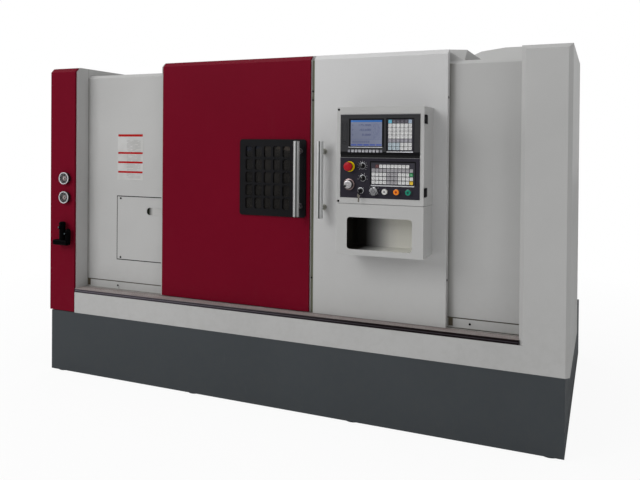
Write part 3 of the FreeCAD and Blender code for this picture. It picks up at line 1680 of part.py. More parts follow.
def cross_slide():
    """Cross slide with the turret head cast on it."""
    floor = saddle_top + slide_clearance
    right = saddle_left + saddle_length
    plate = slope_block(saddle_left, right, cross_slide_low, cross_slide_high,
                        floor, cross_slide_top)
    channels = []
    for x in (saddle_left + cross_rail_inset, right - cross_rail_inset - cross_rail_width):
        channels.append(slope_block(x - slide_clearance, x + cross_rail_width + slide_clearance,
                                    cross_slide_low - past, cross_slide_high + past,
                                    floor - past,
                                    saddle_top + cross_rail_height + slide_clearance))
    middle = saddle_left + saddle_length / 2
    screw_bore = cylinder(slope_point(middle, cross_slide_low - past, cross_screw_level()),
                          up_slope, cross_screw_radius + slide_clearance,
                          cross_slide_high - cross_slide_low + 2 * past)
    half = turret_housing_size / 2
    housing_right = saddle_left + turret_housing_length
    housing = slope_block(saddle_left, housing_right, turret_offset - half, turret_offset + half,
                          bed_centre_height - half, bed_centre_height + half)
    along = [edge for edge in housing.Edges if abs(edge.Length - turret_housing_length) < 1e-6]
    housing = housing.makeFillet(turret_housing_round, along)
    pedestal = slope_block(saddle_left, housing_right,
                           turret_offset - half + turret_pedestal_inset, cross_slide_high,
                           cross_slide_top - past, bed_centre_height - half + turret_pedestal_rise)
    bore = cylinder(turret_axis(saddle_left - past), axis_x,
                    turret_shaft_radius + running_clearance,
                    turret_shaft_length + shaft_end_gap + past)
    body = plate.cut(Part.makeCompound(channels)).cut(screw_bore)
    return fused(body, housing, pedestal).cut(bore)


def turret_axis(x):
    """Point on the turret axis."""
    return slope_point(x, turret_offset, bed_centre_height)


def turret_left():
    """X of the turret disc's front face."""
    return saddle_left - turret_gap - turret_thickness


def at_station(solid, index):
    """Copy of a solid turned to a turret station; station 0 points at the spindle axis."""
    turned_copy = solid.copy()
    turned_copy.rotate(turret_axis(0), axis_x, index * 360 / turret_stations)
    return turned_copy


def turret_disc():
    """Twelve-sided turret disc on its shaft, with a tool slot at every second station."""
    x0 = turret_left()
    corner = turret_radius / cos(pi / turret_stations)
    outline = []
    for index in range(turret_stations):
        angle = bed_angle + pi + (index + 0.5) * 2 * pi / turret_stations
        centre = turret_axis(0)
        outline.append((centre.y + corner * cos(angle), centre.z + corner * sin(angle)))
    disc = along_x(outline, x0, x0 + turret_thickness)
    shaft = cylinder(turret_axis(x0 + turret_thickness - past), axis_x, turret_shaft_radius,
                     past + turret_gap + turret_shaft_length)
    cap = cylinder(turret_axis(x0 - turret_cap_height), axis_x, turret_cap_radius,
                   turret_cap_height + past)
    disc = fused(disc, shaft, cap)
    half = tool_shank / 2
    rim = turret_offset - turret_radius
    slot = slope_block(x0 - past, x0 + tool_shank, rim - past, rim + tool_slot_length,
                       bed_centre_height - half, bed_centre_height + half)
    slots = [at_station(slot, index) for index in range(0, turret_stations, 2)]
    return disc.cut(Part.makeCompound(slots))


def turret_tools():
    """Turning tools and boring bars at alternating stations."""
    x0 = turret_left()
    half = tool_shank / 2
    tip = turret_offset - turret_radius - tool_reach
    end = turret_offset - turret_radius + tool_slot_length
    shank = slope_prism([(tip + tool_tip, bed_centre_height - half),
                         (end, bed_centre_height - half), (end, bed_centre_height + half),
                         (tip + tool_tip, bed_centre_height + half),
                         (tip, bed_centre_height)], x0, x0 + tool_shank)
    pieces = [at_station(shank, index) for index in range(0, turret_stations, 2)]
    radius = turret_radius - bar_block_radius - bar_block_inset
    foot = slope_point(x0, turret_offset - radius, bed_centre_height)
    holder = cylinder(foot - axis_x * bar_block_length, axis_x, bar_block_radius,
                      bar_block_length)
    bar = cylinder(foot - axis_x * bar_length, axis_x, bar_radius,
                   bar_length - bar_block_length + past)
    boring = fused(holder, bar)
    pieces += [at_station(boring, index) for index in range(1, turret_stations, 2)]
    return Part.makeCompound(pieces)


def tailstock():
    """Tailstock on the lower ways, with the bore for its quill."""
    right = tailstock_left + tailstock_length
    low = tail_way_low - tailstock_sole_margin
    high = tail_way_high + tailstock_sole_margin
    sole = slope_prism(way_slots(low, high, saddle_floor, tailstock_sole + way_height,
                                 (tail_way_low, tail_way_high)), tailstock_left, right)
    shoulder = tailstock_radius - tailstock_shoulder
    foot = tailstock_sole + tailstock_pillar_rise
    pillar = slope_prism([(low + tailstock_pillar_inset, foot), (high, foot),
                          (shoulder, bed_centre_height), (-shoulder, bed_centre_height)],
                         tailstock_left, right)
    boss = cylinder(spindle_axis(tailstock_left), axis_x, tailstock_radius, tailstock_length)
    bore = cylinder(spindle_axis(tailstock_left - past), axis_x,
                    quill_radius + running_clearance, tailstock_length + 2 * past)
    return fused(sole, pillar, boss).cut(bore)


def tailstock_quill():
    """Quill with the socket for the live centre."""
    left = tailstock_left - quill_reach
    quill = cylinder(spindle_axis(left), axis_x, quill_radius, quill_length)
    nose = [edge for edge in quill.Edges
            if edge.Closed and abs(edge.CenterOfMass.x - left) < past]
    quill = quill.makeChamfer(quill_edge, nose)
    socket = cylinder(spindle_axis(left - past), axis_x, centre_socket_radius + running_clearance,
                      centre_socket_depth + past)
    return quill.cut(socket)


def live_centre():
    """Rotating centre with its point and shank."""
    left = tailstock_left - quill_reach - centre_length
    cone = centre_radius / tan(radians(centre_half_angle))
    collar_end = left + centre_length - centre_shoulder
    shank_end = left + centre_length + centre_socket_depth - centre_socket_gap
    profile = [(left, 0), (left + cone, centre_radius), (collar_end, centre_radius),
               (collar_end, centre_socket_radius),
               (shank_end, centre_socket_radius), (shank_end, 0)]
    return turned(profile, spindle_axis(0), axis_x)


def z_ball_screw():
    """Lead screw of the carriage."""
    left = screw_left - screw_bearing_length
    return cylinder(slope_point(left, screw_offset, screw_height), axis_x, screw_radius,
                    bed_right - left - screw_end_gap)


def servo(start, direction, face_size):
    """Square servo motor with a narrower encoder cap."""
    side = V(1, 0, 0) if abs(direction.x) < 0.5 else up_slope
    other = off_slope
    half = face_size / 2

    def stage(offset, length, size):
        corner = start + direction * offset - side * size - other * size
        points = [corner, corner + side * 2 * size, corner + (side + other) * 2 * size,
                  corner + other * 2 * size]
        return face_of(points).extrude(direction * length)

    return fused(stage(0, servo_body_length, half),
                 stage(servo_body_length, servo_cap_length, half * servo_cap_ratio))


def z_servo_motor():
    """Servo motor of the lead screw, on the end of the bed."""
    return servo(slope_point(bed_right, screw_offset, screw_height), axis_x, servo_size)


def x_ball_screw():
    """Cross feed screw."""
    middle = saddle_left + saddle_length / 2
    low = saddle_low + cross_screw_end
    high = saddle_high + cross_bracket_length - screw_end_gap
    return cylinder(slope_point(middle, low, cross_screw_level()), up_slope,
                    cross_screw_radius, high - low)


def x_servo_motor():
    """Servo motor of the cross feed screw."""
    middle = saddle_left + saddle_length / 2
    start = slope_point(middle, saddle_high + cross_bracket_length, cross_screw_level())
    return servo(start, up_slope, cross_servo_size)


# ---------------------------------------------------------------------------
# Rear units
# ---------------------------------------------------------------------------

def cabinet_front_y():
    """Y of the rim that the cabinet door closes on."""
    return back - cabinet_door_depth - cabinet_door_gap


def electrical_cabinet():
    """Cabinet shell with drive units on its mounting plate."""
    rim = cabinet_front_y()
    outer = block(cabinet_left, cabinet_right, rear_wall, rim, plinth_height, cabinet_top)
    inner = block(cabinet_left + sheet, cabinet_right - sheet, rear_wall + sheet, rim + past,
                  plinth_height + sheet, cabinet_top - sheet)
    back_y = rear_wall + sheet
    plate = block(cabinet_left + cabinet_plate_margin_x, cabinet_right - cabinet_plate_margin_x,
                  back_y - past, back_y + cabinet_plate_thickness,
                  plinth_height + cabinet_plate_margin_z, cabinet_top - cabinet_plate_margin_z)
    devices = []
    x = cabinet_left + drive_margin
    z = plinth_height + drive_rise
    for width, depth, height in drive_sizes:
        devices.append(block(x, x + width, back_y, back_y + depth, z, z + height))
        x += width + drive_gap
    for row in range(terminal_rows):
        z = plinth_height + terminal_rise + row * terminal_pitch
        devices.append(block(cabinet_left + drive_margin, cabinet_right - drive_margin,
                             back_y, back_y + terminal_depth, z, z + terminal_height))
    return fused(outer.cut(inner), plate, *devices)


def cabinet_door():
    """Rear cabinet door with a recessed latch."""
    y0 = back - cabinet_door_depth
    sill = plinth_height + cabinet_door_sill
    outer = block(cabinet_left, cabinet_right, y0, back, sill, cabinet_top)
    inner = block(cabinet_left + door_sheet, cabinet_right - door_sheet, y0 - past,
                  back - door_sheet, sill + door_sheet, cabinet_top - door_sheet)
    x0 = cabinet_left + cabinet_latch_inset
    x1 = x0 + cabinet_latch_width
    z0 = (plinth_height + cabinet_top) / 2
    z1 = z0 + cabinet_latch_length
    floor = back - cabinet_latch_depth
    wall = cabinet_latch_wall
    recess = block(x0, x1, floor, back + past, z0, z1)
    cup = block(x0 - wall, x1 + wall, floor - wall, back, z0 - wall, z1 + wall).cut(recess)
    margin = cabinet_lever_margin
    lever = block(x0 + margin, x1 - margin, floor, back - cabinet_lever_setback,
                  z0 + margin, z1 - margin)
    return fused(outer.cut(inner).cut(recess), cup, lever)


def hydraulic_unit():
    """Oil tank with a standing pump motor, a valve block and a filler."""
    y0 = rear_wall + hydraulic_gap
    y1 = y0 + hydraulic_depth
    right = hydraulic_left + hydraulic_length
    top = plinth_height + hydraulic_tank_height
    lap = hydraulic_lid_lap
    tank = block(hydraulic_left, right, y0, y1, plinth_height, top)
    deck = top + hydraulic_lid
    lid = block(hydraulic_left - lap, right + lap, y0 - lap, y1 + lap, top, deck)
    centre = V(hydraulic_left + hydraulic_motor_from_left, (y0 + y1) / 2, deck)
    frame = hydraulic_motor_radius
    flange = frame + hydraulic_flange_step
    fan = frame + hydraulic_fan_step
    fan_foot = hydraulic_motor_height - hydraulic_fan_length
    profile = [(0, 0), (0, flange), (hydraulic_flange_step, flange),
               (hydraulic_flange_step, frame), (fan_foot, frame), (fan_foot, fan),
               (hydraulic_motor_height - hydraulic_fan_edge, fan),
               (hydraulic_motor_height, fan - hydraulic_fan_edge), (hydraulic_motor_height, 0)]
    motor = turned(profile, centre, axis_z)
    block_left = right - hydraulic_block_from_right
    half = hydraulic_block_width / 2
    manifold = block(block_left, block_left + hydraulic_block_length, centre.y - half,
                     centre.y + half, deck, deck + hydraulic_block_height)
    overhang = (hydraulic_valve_length - hydraulic_block_length) / 2
    valve = cylinder(V(block_left - overhang, centre.y, deck + hydraulic_valve_rise), axis_x,
                     hydraulic_valve_radius, hydraulic_valve_length)
    filler = cylinder(V(right - filler_inset, centre.y + filler_shift, deck), axis_z,
                      filler_radius, filler_height)
    return fused(tank, lid, motor, manifold, valve, filler)


# ---------------------------------------------------------------------------
# All nodes
# ---------------------------------------------------------------------------

def nodes():
    """Name and shape of every sub-part."""
    builders = [base_plinth, left_end_cover, left_front_panel, enclosure_frame, door_tracks,
                front_panel_left, front_panel_right, access_panel, roof_enclosure,
                pressure_gauges, air_filter_unit, regulator_knob,
                left_door, left_door_skin, window_grille, window_glass, left_door_handle,
                right_door, right_door_handle, control_box, control_box_door, box_hinges,
                display_unit, operator_panel, emergency_stop, feed_override_knob,
                rapid_override_knob, handwheel, key_switch, spindle_override_dial,
                slant_bed, headstock, spindle_bearings, spindle, spindle_pulley, chuck_cylinder,
                chuck_body, drive_belt, spindle_motor, motor_pulley, saddle, cross_slide,
                turret_disc, turret_tools, tailstock, tailstock_quill, live_centre,
                z_ball_screw, z_servo_motor, x_ball_screw, x_servo_motor,
                electrical_cabinet, cabinet_door, hydraulic_unit]
    shapes = {builder.__name__: builder() for builder in builders}
    for index in range(3):
        shapes[f"chuck_jaw_{index + 1}"] = chuck_jaw(index)
    for index, name in enumerate(("white_button", "orange_button", "green_button")):
        shapes[name] = push_button(index)
    return shapes


os.makedirs("parts", exist_ok=True)
for name, shape in nodes().items():
    shape.exportStep(f"parts/{name}.step")
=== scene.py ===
"""Looks of the turning lathe: finishes, small fittings, studio and camera.

Metres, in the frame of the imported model: X along the spindle, Y into the machine, Z up.
"""
from math import atan2, cos, pi, radians, sin

import bmesh
import bpy
from mathutils import Matrix, Vector


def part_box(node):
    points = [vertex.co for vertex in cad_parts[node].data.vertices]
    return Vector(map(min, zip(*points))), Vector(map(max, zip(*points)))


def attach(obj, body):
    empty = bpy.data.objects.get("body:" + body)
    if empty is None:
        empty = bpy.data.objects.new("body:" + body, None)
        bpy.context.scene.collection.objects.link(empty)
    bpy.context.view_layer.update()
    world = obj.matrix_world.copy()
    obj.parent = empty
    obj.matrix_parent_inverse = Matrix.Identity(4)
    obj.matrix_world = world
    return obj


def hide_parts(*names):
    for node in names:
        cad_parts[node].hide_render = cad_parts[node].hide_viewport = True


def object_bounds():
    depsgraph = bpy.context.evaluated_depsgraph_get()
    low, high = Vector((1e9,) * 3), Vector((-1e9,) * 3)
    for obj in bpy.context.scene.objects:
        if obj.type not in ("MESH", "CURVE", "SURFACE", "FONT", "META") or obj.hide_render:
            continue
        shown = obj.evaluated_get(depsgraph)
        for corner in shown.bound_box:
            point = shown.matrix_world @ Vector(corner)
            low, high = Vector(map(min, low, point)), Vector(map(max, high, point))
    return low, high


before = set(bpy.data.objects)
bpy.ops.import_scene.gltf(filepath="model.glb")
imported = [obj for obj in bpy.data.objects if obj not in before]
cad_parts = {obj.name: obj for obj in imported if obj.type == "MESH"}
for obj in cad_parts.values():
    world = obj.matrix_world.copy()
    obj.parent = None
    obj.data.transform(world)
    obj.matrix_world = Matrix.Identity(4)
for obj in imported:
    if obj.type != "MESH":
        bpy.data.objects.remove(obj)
CAD_BOX = [list(corner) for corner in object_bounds()]

MM = 0.001
PAST = 0.2 * MM                    # fittings sit this far in or proud of what carries them
FAR = 2.0                          # beyond the machine, for the open sides of a mask
UNIT_PROUD = 4 * MM                # the panel units' faces lie this far ahead of the box's

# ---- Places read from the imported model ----


def corners(node):
    """Lowest and highest corner of a node of the model."""
    low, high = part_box(node)
    return Vector(low), Vector(high)


def axis_of(node):
    """Point at X = 0 on the axis of a node that is round about X."""
    low, high = corners(node)
    return Vector((0, (low.y + high.y) / 2, (low.z + high.z) / 2))


PANEL_LOW = corners("front_panel_left")[0]
RIGHT_PANEL_HIGH = corners("front_panel_right")[1]
ACCESS_LOW, ACCESS_HIGH = corners("access_panel")
SKIN_LOW, SKIN_HIGH = corners("left_door_skin")
RIGHT_DOOR_LOW, RIGHT_DOOR_HIGH = corners("right_door")
BOX_LOW, BOX_HIGH = corners("control_box")
DISPLAY_LOW, DISPLAY_HIGH = corners("display_unit")
OPERATOR_LOW, OPERATOR_HIGH = corners("operator_panel")
GAUGES_LOW, GAUGES_HIGH = corners("pressure_gauges")
BAR_CORNERS = [corners(node) for node in ("left_door_handle", "right_door_handle")]
BAR_RADIUS = (BAR_CORNERS[0][1].x - BAR_CORNERS[0][0].x) / 2
BAR_CENTRES = [Vector(((low.x + high.x) / 2, low.y + BAR_RADIUS, 0)) for low, high in BAR_CORNERS]

COLUMN_FRONT = corners("left_front_panel")[0].y
OUTER_SIDE = CAD_BOX[1][0]
DOOR_FACE = SKIN_LOW.y
PANEL_FACE = PANEL_LOW.y
CONTROL_FACE = BOX_LOW.y
UNIT_FACE = CONTROL_FACE - UNIT_PROUD
TRACK_TOP = PANEL_LOW.z
SPINDLE = axis_of("chuck_body")
TURRET_AXIS = axis_of("turret_disc")


def points_on(unit_low):
    """Places on a panel unit's face, millimetres from its left and lower edges."""
    return lambda right, up: Vector((unit_low.x + right * MM, UNIT_FACE, unit_low.z + up * MM))


element = points_on(OPERATOR_LOW)
on_display = points_on(DISPLAY_LOW)
STOP = element(52, 153)
FEED_KNOB = element(117, 157)
RAPID_KNOB = element(119, 97)
HANDWHEEL = element(50, 65)
KEY_SWITCH = element(109, 36)
DIAL = element(178, 35)
BUTTONS = {"white": element(233, 34), "orange": element(291, 34), "green": element(349, 34)}
SCREEN_LOW, SCREEN_HIGH = on_display(54, 41), on_display(215, 168)
LABEL_LOW = Vector((-1.101, PANEL_FACE, 1.202))
LABEL_HIGH = Vector((-0.908, PANEL_FACE, 1.483))
LABEL_BARS = ((0.95, 1.01), (0.57, 0.612), (0.367, 0.408), (0.154, 0.196))
GAUGE_X = (GAUGES_LOW.x + GAUGES_HIGH.x) / 2
GAUGE_CENTRES = [Vector((GAUGE_X, GAUGES_LOW.y + 5 * MM, z))
                 for z in (GAUGES_LOW.z + 37 * MM, GAUGES_HIGH.z - 37 * MM)]

# ---- Shader maths and finishes ----


def srgb(red, green, blue):
    """Linear colour of a screen colour given as 0 to 255."""
    def linear(level):
        level /= 255
        return level / 12.92 if level <= 0.04045 else ((level + 0.055) / 1.055) ** 2.4
    return (linear(red), linear(green), linear(blue), 1.0)


def scaled(colour, factor):
    """The same hue, lighter or darker."""
    return tuple(min(level * factor, 1.0) for level in colour[:3]) + (1.0,)


def feed(tree, socket, value):
    """Link or set one socket."""
    value = getattr(value, "socket", value)
    if isinstance(value, bpy.types.NodeSocket):
        tree.links.new(value, socket)
    else:
        socket.default_value = value


def add_node(tree, kind, settings=None, inputs=None):
    """New node: its settings first, then the values or links of its sockets."""
    made = tree.nodes.new("ShaderNode" + kind)
    for key, value in (settings or {}).items():
        setattr(made, key, value)
    for key, value in (inputs or {}).items():
        feed(tree, made.inputs[key], value)
    return made


def operator(operation, flipped=False):
    """Method that puts a number, and what follows it, through a Math node."""
    def method(self, *others):
        values = (*others, self) if flipped else (self, *others)
        return self.finish.math(operation, *values)
    return method


class Term:
    """A number that varies over a surface; arithmetic on it adds Math nodes."""

    def __init__(self, finish, socket):
        self.finish = finish
        self.socket = socket

    __add__, __radd__ = operator("ADD"), operator("ADD", True)
    __sub__, __rsub__ = operator("SUBTRACT"), operator("SUBTRACT", True)
    __mul__, __rmul__ = operator("MULTIPLY"), operator("MULTIPLY", True)
    __truediv__, __pow__ = operator("DIVIDE"), operator("POWER")
    __gt__, __lt__ = operator("GREATER_THAN"), operator("LESS_THAN")
    __abs__, whole, part = operator("ABSOLUTE"), operator("FLOOR"), operator("FRACT")
    or_more = operator("MAXIMUM")

    def between(self, low, high):
        """1 where the number lies between two limits."""
        return (self > low) * (self < high)

    def ramp(self, low, high):
        """0 at low, 1 at high, straight between and held outside."""
        return self.finish.term("MapRange", {"clamp": True},
                                {"Value": self, "From Min": low, "From Max": high})


class Finish:
    """A surface finish whose nodes read Object coordinates."""

    def __init__(self, name, rough=0.5, metal=0.0, **sockets):
        self.material = bpy.data.materials.new(name)
        self.material.use_nodes = True
        self.tree = self.material.node_tree
        self.shader = self.tree.nodes["Principled BSDF"]
        self.place = self.node("TexCoord").outputs["Object"]
        split = self.node("SeparateXYZ", None, {0: self.place})
        self.x, self.y, self.z = (Term(self, socket) for socket in split.outputs)
        self.set(Roughness=rough, Metallic=metal, **sockets)

    def set(self, **sockets):
        """Link or set sockets of the shader."""
        for name, value in sockets.items():
            feed(self.tree, self.shader.inputs[name.replace("_", " ")], value)

    def node(self, kind, settings=None, inputs=None):
        return add_node(self.tree, kind, settings, inputs)

    def term(self, kind, settings=None, inputs=None):
        return Term(self, self.node(kind, settings, inputs).outputs[0])

    def math(self, operation, *values):
        return self.term("Math", {"operation": operation}, dict(enumerate(values)))

    def stretched(self, *scale):
        """Object coordinates scaled by a different number on each axis."""
        return self.node("VectorMath", {"operation": "MULTIPLY"},
                         {0: self.place, 1: scale}).outputs[0]

    def noise(self, scale, detail=2.0, rough=0.5, place=None):
        """Noise from about 0.3 to 0.7 around 0.5."""
        return self.term("TexNoise", None, {"Vector": place or self.place, "Scale": scale,
                                            "Detail": detail, "Roughness": rough})

    def vector(self, x, y, z):
        return self.node("CombineXYZ", None, {0: x, 1: y, 2: z}).outputs[0]

    def mix(self, factor, first, second):
        """Colour between two colours."""
        return self.node("Mix", {"data_type": "RGBA"}, {0: factor, 6: first, 7: second}).outputs[2]

    def blend(self, number, first, second, low=0.3, high=0.7):
        """Colour that goes from the first to the second as a number goes from low to high."""
        return self.mix(number.ramp(low, high), first, second)

    def layered(self, shade, *layers):
        """A colour with (mask, colour) layers laid over it in turn."""
        for mask, colour in layers:
            shade = self.mix(mask, shade, colour)
        return shade

    def varied(self, number, colour, dark, light, low=0.3, high=0.7):
        """One colour, a little darker or lighter with a number."""
        return self.blend(number, scaled(colour, dark), scaled(colour, light), low, high)

    def spotted(self, shade, surface, spots):
        """Colour and roughness with spots of another finish: (mask maker, colour, roughness)."""
        for mask_of, spot_colour, spot_rough in spots:
            mask = mask_of(self)
            shade = self.mix(mask, shade, spot_colour)
            surface = surface + (spot_rough - surface) * mask
        return shade, surface

    def coat(self, shade, surface, relief=None, depth=0.0, strength=1.0):
        """Sets colour and roughness, and a relief of the given depth in metres."""
        self.set(Base_Color=shade, Roughness=surface)
        if relief is not None:
            bump = self.node("Bump", None, {"Height": relief, "Distance": depth,
                                            "Strength": strength})
            self.set(Normal=bump.outputs[0])
        return self

    def from_axis(self, centre):
        """Distance from an axis along X and angle about it."""
        across = self.y - centre.y
        above = self.z - centre.z
        return (across * across + above * above) ** 0.5, self.math("ARCTAN2", above, across)

    def from_point(self, centre):
        """Distance from an axis along Y through a point."""
        along = self.x - centre.x
        above = self.z - centre.z
        return (along * along + above * above) ** 0.5


def painted(name, colour, rough=0.36, dust=0.35, gleam=0.25, rub=0.05, spots=()):
    """Sprayed enamel: slight orange peel, dust near the floor, faint rub marks."""
    finish = Finish(name, Specular_IOR_Level=gleam)
    fine = finish.noise(26.0, 4.0, 0.65)
    shade = finish.varied(finish.noise(1.7, 3.0), colour, 0.955, 1.035)
    rubbed = finish.noise(3.0, 5.0, 0.7, finish.stretched(7.0, 3.0, 1.0)).ramp(0.63, 0.74)
    low = finish.z.ramp(0.85, 0.0) * fine.ramp(0.42, 0.64)
    shade = finish.layered(shade, (rubbed * rub, srgb(150, 149, 146)),
                           (low * dust, srgb(112, 106, 98)))
    surface = rough + (fine - 0.5) * 0.1 + rubbed * 0.06 + low * 0.2
    shade, surface = finish.spotted(shade, surface, spots)
    return finish.coat(shade, surface, finish.noise(420.0, 2.0), 0.06 * MM, 0.4)


def moulded(name, colour, rough=0.45, grain=1500.0, gleam=0.2, spots=(), **sockets):
    """Moulded plastic with a fine grain."""
    finish = Finish(name, Specular_IOR_Level=gleam, **sockets)
    fine = finish.noise(60.0, 3.0)
    shade = finish.varied(finish.noise(9.0, 2.0), colour, 0.93, 1.08, 0.32, 0.68)
    shade, surface = finish.spotted(shade, rough + (fine - 0.5) * 0.2, spots)
    return finish.coat(shade, surface, finish.noise(grain, 1.0), 0.04 * MM, 0.6)


def ground_steel(name, colour, run=(3.0, 260.0, 260.0), rough=0.28):
    """Ground or brushed metal with its marks along the axis of the smallest scale."""
    finish = Finish(name, metal=1.0)
    streak = finish.noise(1.0, 5.0, 0.7, finish.stretched(*run))
    smear = finish.noise(6.0, 3.0)
    stain = finish.noise(14.0, 4.0, 0.7).ramp(0.58, 0.72)
    shade = finish.varied(streak, colour, 0.84, 1.12, 0.25, 0.75)
    return finish.coat(finish.mix(stain * 0.35, shade, scaled(colour, 0.55)),
                       rough + (streak - 0.5) * 0.3 + (smear - 0.5) * 0.2,
                       streak, 0.08 * MM, 0.35)


def turned_steel(name, colour, centre):
    """Metal turned about an axis along X: fine rings on the faces and along the bars."""
    finish = Finish(name, metal=1.0)
    radius, angle = finish.from_axis(centre)
    rings = finish.noise(1.0, 4.0, 0.75, finish.vector(radius * 900.0, finish.x * 900.0, 0.0))
    smear = finish.noise(11.0, 3.0)
    sheen = finish.math("SINE", angle * 2.0 + smear * 5.0).ramp(-1.0, 1.0)
    shade = finish.varied(rings, colour, 0.80, 1.12, 0.25, 0.75)
    return finish.coat(finish.mix(sheen * 0.25, shade, scaled(colour, 0.72)),
                       0.26 + (rings - 0.5) * 0.3 + (smear - 0.5) * 0.15,
                       rings, 0.06 * MM, 0.4)


def cast_iron(name, colour):
    """Enamelled casting with a sand texture and oil runs."""
    finish = Finish(name)
    sand = finish.noise(130.0, 4.0, 0.7)
    shade = finish.varied(finish.noise(3.0, 3.0), colour, 0.90, 1.07)
    oil = finish.noise(2.2, 4.0, 0.65, finish.stretched(1.0, 1.0, 0.35)).ramp(0.56, 0.70)
    return finish.coat(finish.mix(oil * 0.35, shade, srgb(92, 86, 74)),
                       0.42 + (sand - 0.5) * 0.3 - oil * 0.14, sand, 0.6 * MM, 0.5)


# Masks: each maker gives a function that adds the mask's nodes to a finish


def block_mask(low, high):
    """Mask of the space between two corners."""
    def mask(finish):
        inside = finish.x.between(low[0], high[0]) * finish.y.between(low[1], high[1])
        return inside * finish.z.between(low[2], high[2])
    return mask


def disc_mask(centre, radius, front):
    """Mask of a round place about a Y axis that stands in front of a plane."""
    return lambda finish: (finish.from_point(centre) < radius) * (finish.y < front)


def behind(front):
    """Mask of everything behind a plane."""
    return lambda finish: finish.y > front


def any_of(*masks):
    """Mask of several places."""
    def mask(finish):
        whole = masks[0](finish)
        for other in masks[1:]:
            whole = whole.or_more(other(finish))
        return whole
    return mask


def field(point, left, foot, right, head):
    """Mask of a rectangle on the face of a panel unit, in the unit's millimetres."""
    low, high = point(left, foot), point(right, head)
    return block_mask((low.x, UNIT_FACE - 0.8 * MM, low.z), (high.x, UNIT_FACE + 3 * MM, high.z))


SEAM = block_mask((DISPLAY_LOW.x, -FAR, OPERATOR_HIGH.z - 4 * MM),
                  (DISPLAY_HIGH.x, CONTROL_FACE + 1 * MM, DISPLAY_LOW.z + 4 * MM))
KNUCKLES = block_mask((BOX_HIGH.x + 0.4 * MM, -FAR, 0.0), (BOX_HIGH.x + 50 * MM, 0.0, FAR))
STRIP_SCREWS_UP = 20 * MM          # screws of the foot strips above the track
STRIP_JOINT_X = -1.087             # where the left strip's two lengths meet
# Painted shade in the seam along the foot of the recessed panels
PANEL_SEAM_SHADE = block_mask((PANEL_LOW.x, PANEL_FACE + PAST, TRACK_TOP + 41.5 * MM),
                        (RIGHT_PANEL_HIGH.x, PANEL_FACE + 4.5 * MM, TRACK_TOP + 48.5 * MM))
STRIP_JOINT = block_mask((STRIP_JOINT_X - 1.5 * MM, PANEL_FACE - 1 * MM, TRACK_TOP),
                         (STRIP_JOINT_X + 1.5 * MM, PANEL_FACE + 1 * MM,
                          TRACK_TOP + STRIP_SCREWS_UP))
FIELD_EDGES = any_of(field(element, 155, 66, 383, 181), field(on_display, 236, 19, 374, 177),
                     field(on_display, 45, 36, 224, 176), field(on_display, 0, 0, 402, 14))
KEY_FIELDS = any_of(field(element, 160, 66, 378, 174), field(on_display, 241, 19, 370, 172))
UPPER_EDGES = any_of(field(on_display, 0, 193, 402, 199), field(element, 0, 195, 402, 199))
# Painted shade of the right door: dark olive on the left door's lip beside the meeting gap
LIP_PAINTED_SHADE = block_mask((SKIN_HIGH.x + 7 * MM, DOOR_FACE + 8 * MM, 0.5),
                       (RIGHT_DOOR_LOW.x, DOOR_FACE + 50 * MM, FAR))
POCKET = block_mask((0.500, CONTROL_FACE + 1.5 * MM, 0.912), (0.835, -0.70, 1.074))
LATCH_CORNERS = (((-0.020, 0.868), (-0.004, 0.915)), ((-0.149, 1.291), (-0.139, 1.312)))
SIDE_LATCHES = any_of(*(block_mask((OUTER_SIDE - 1 * MM, *low), (OUTER_SIDE + 5 * MM, *high))
                        for low, high in LATCH_CORNERS))


def pocket_part(start, full):
    """Mask of the storage pocket that grows along X from start to full."""
    return lambda finish: POCKET(finish) * finish.x.ramp(start, full)


# Painted light and shade in the pocket: dark at its left end, light at its right end
pocket_painted_shade = pocket_part(0.68, 0.55)
pocket_painted_light = pocket_part(0.60, 0.72)


def door_foot_painted_shade(finish):
    """Painted shade: the right door greyer towards its foot."""
    return finish.z.ramp(1.15, 0.60) * 0.7


def corner_grime_and_shade(finish):
    """Painted shade with grease on the recessed panels beside the door and in the left corner."""
    on_panel = finish.y.between(PANEL_FACE - 1 * MM, PANEL_FACE + 4 * MM)
    beside_door = finish.x.ramp(RIGHT_DOOR_HIGH.x + 34 * MM, RIGHT_DOOR_HIGH.x)
    in_corner = finish.x.ramp(PANEL_LOW.x + 20 * MM, PANEL_LOW.x + 4 * MM)
    near = (beside_door * (finish.x > RIGHT_DOOR_HIGH.x - 20 * MM)).or_more(in_corner * 0.7)
    uneven = finish.noise(5.0, 3.0).ramp(0.2, 0.7)
    return on_panel * near * (0.35 + uneven * 0.3)


def around_access(margin):
    """Mask of the access panel's place, wider and higher by a margin."""
    reach = Vector((margin, 10 * MM, margin))
    return block_mask(ACCESS_LOW - reach, ACCESS_HIGH + reach)


def access_gap(finish):
    """Dark gap around the access panel."""
    return around_access(4.5 * MM)(finish) - around_access(-1.2 * MM)(finish)


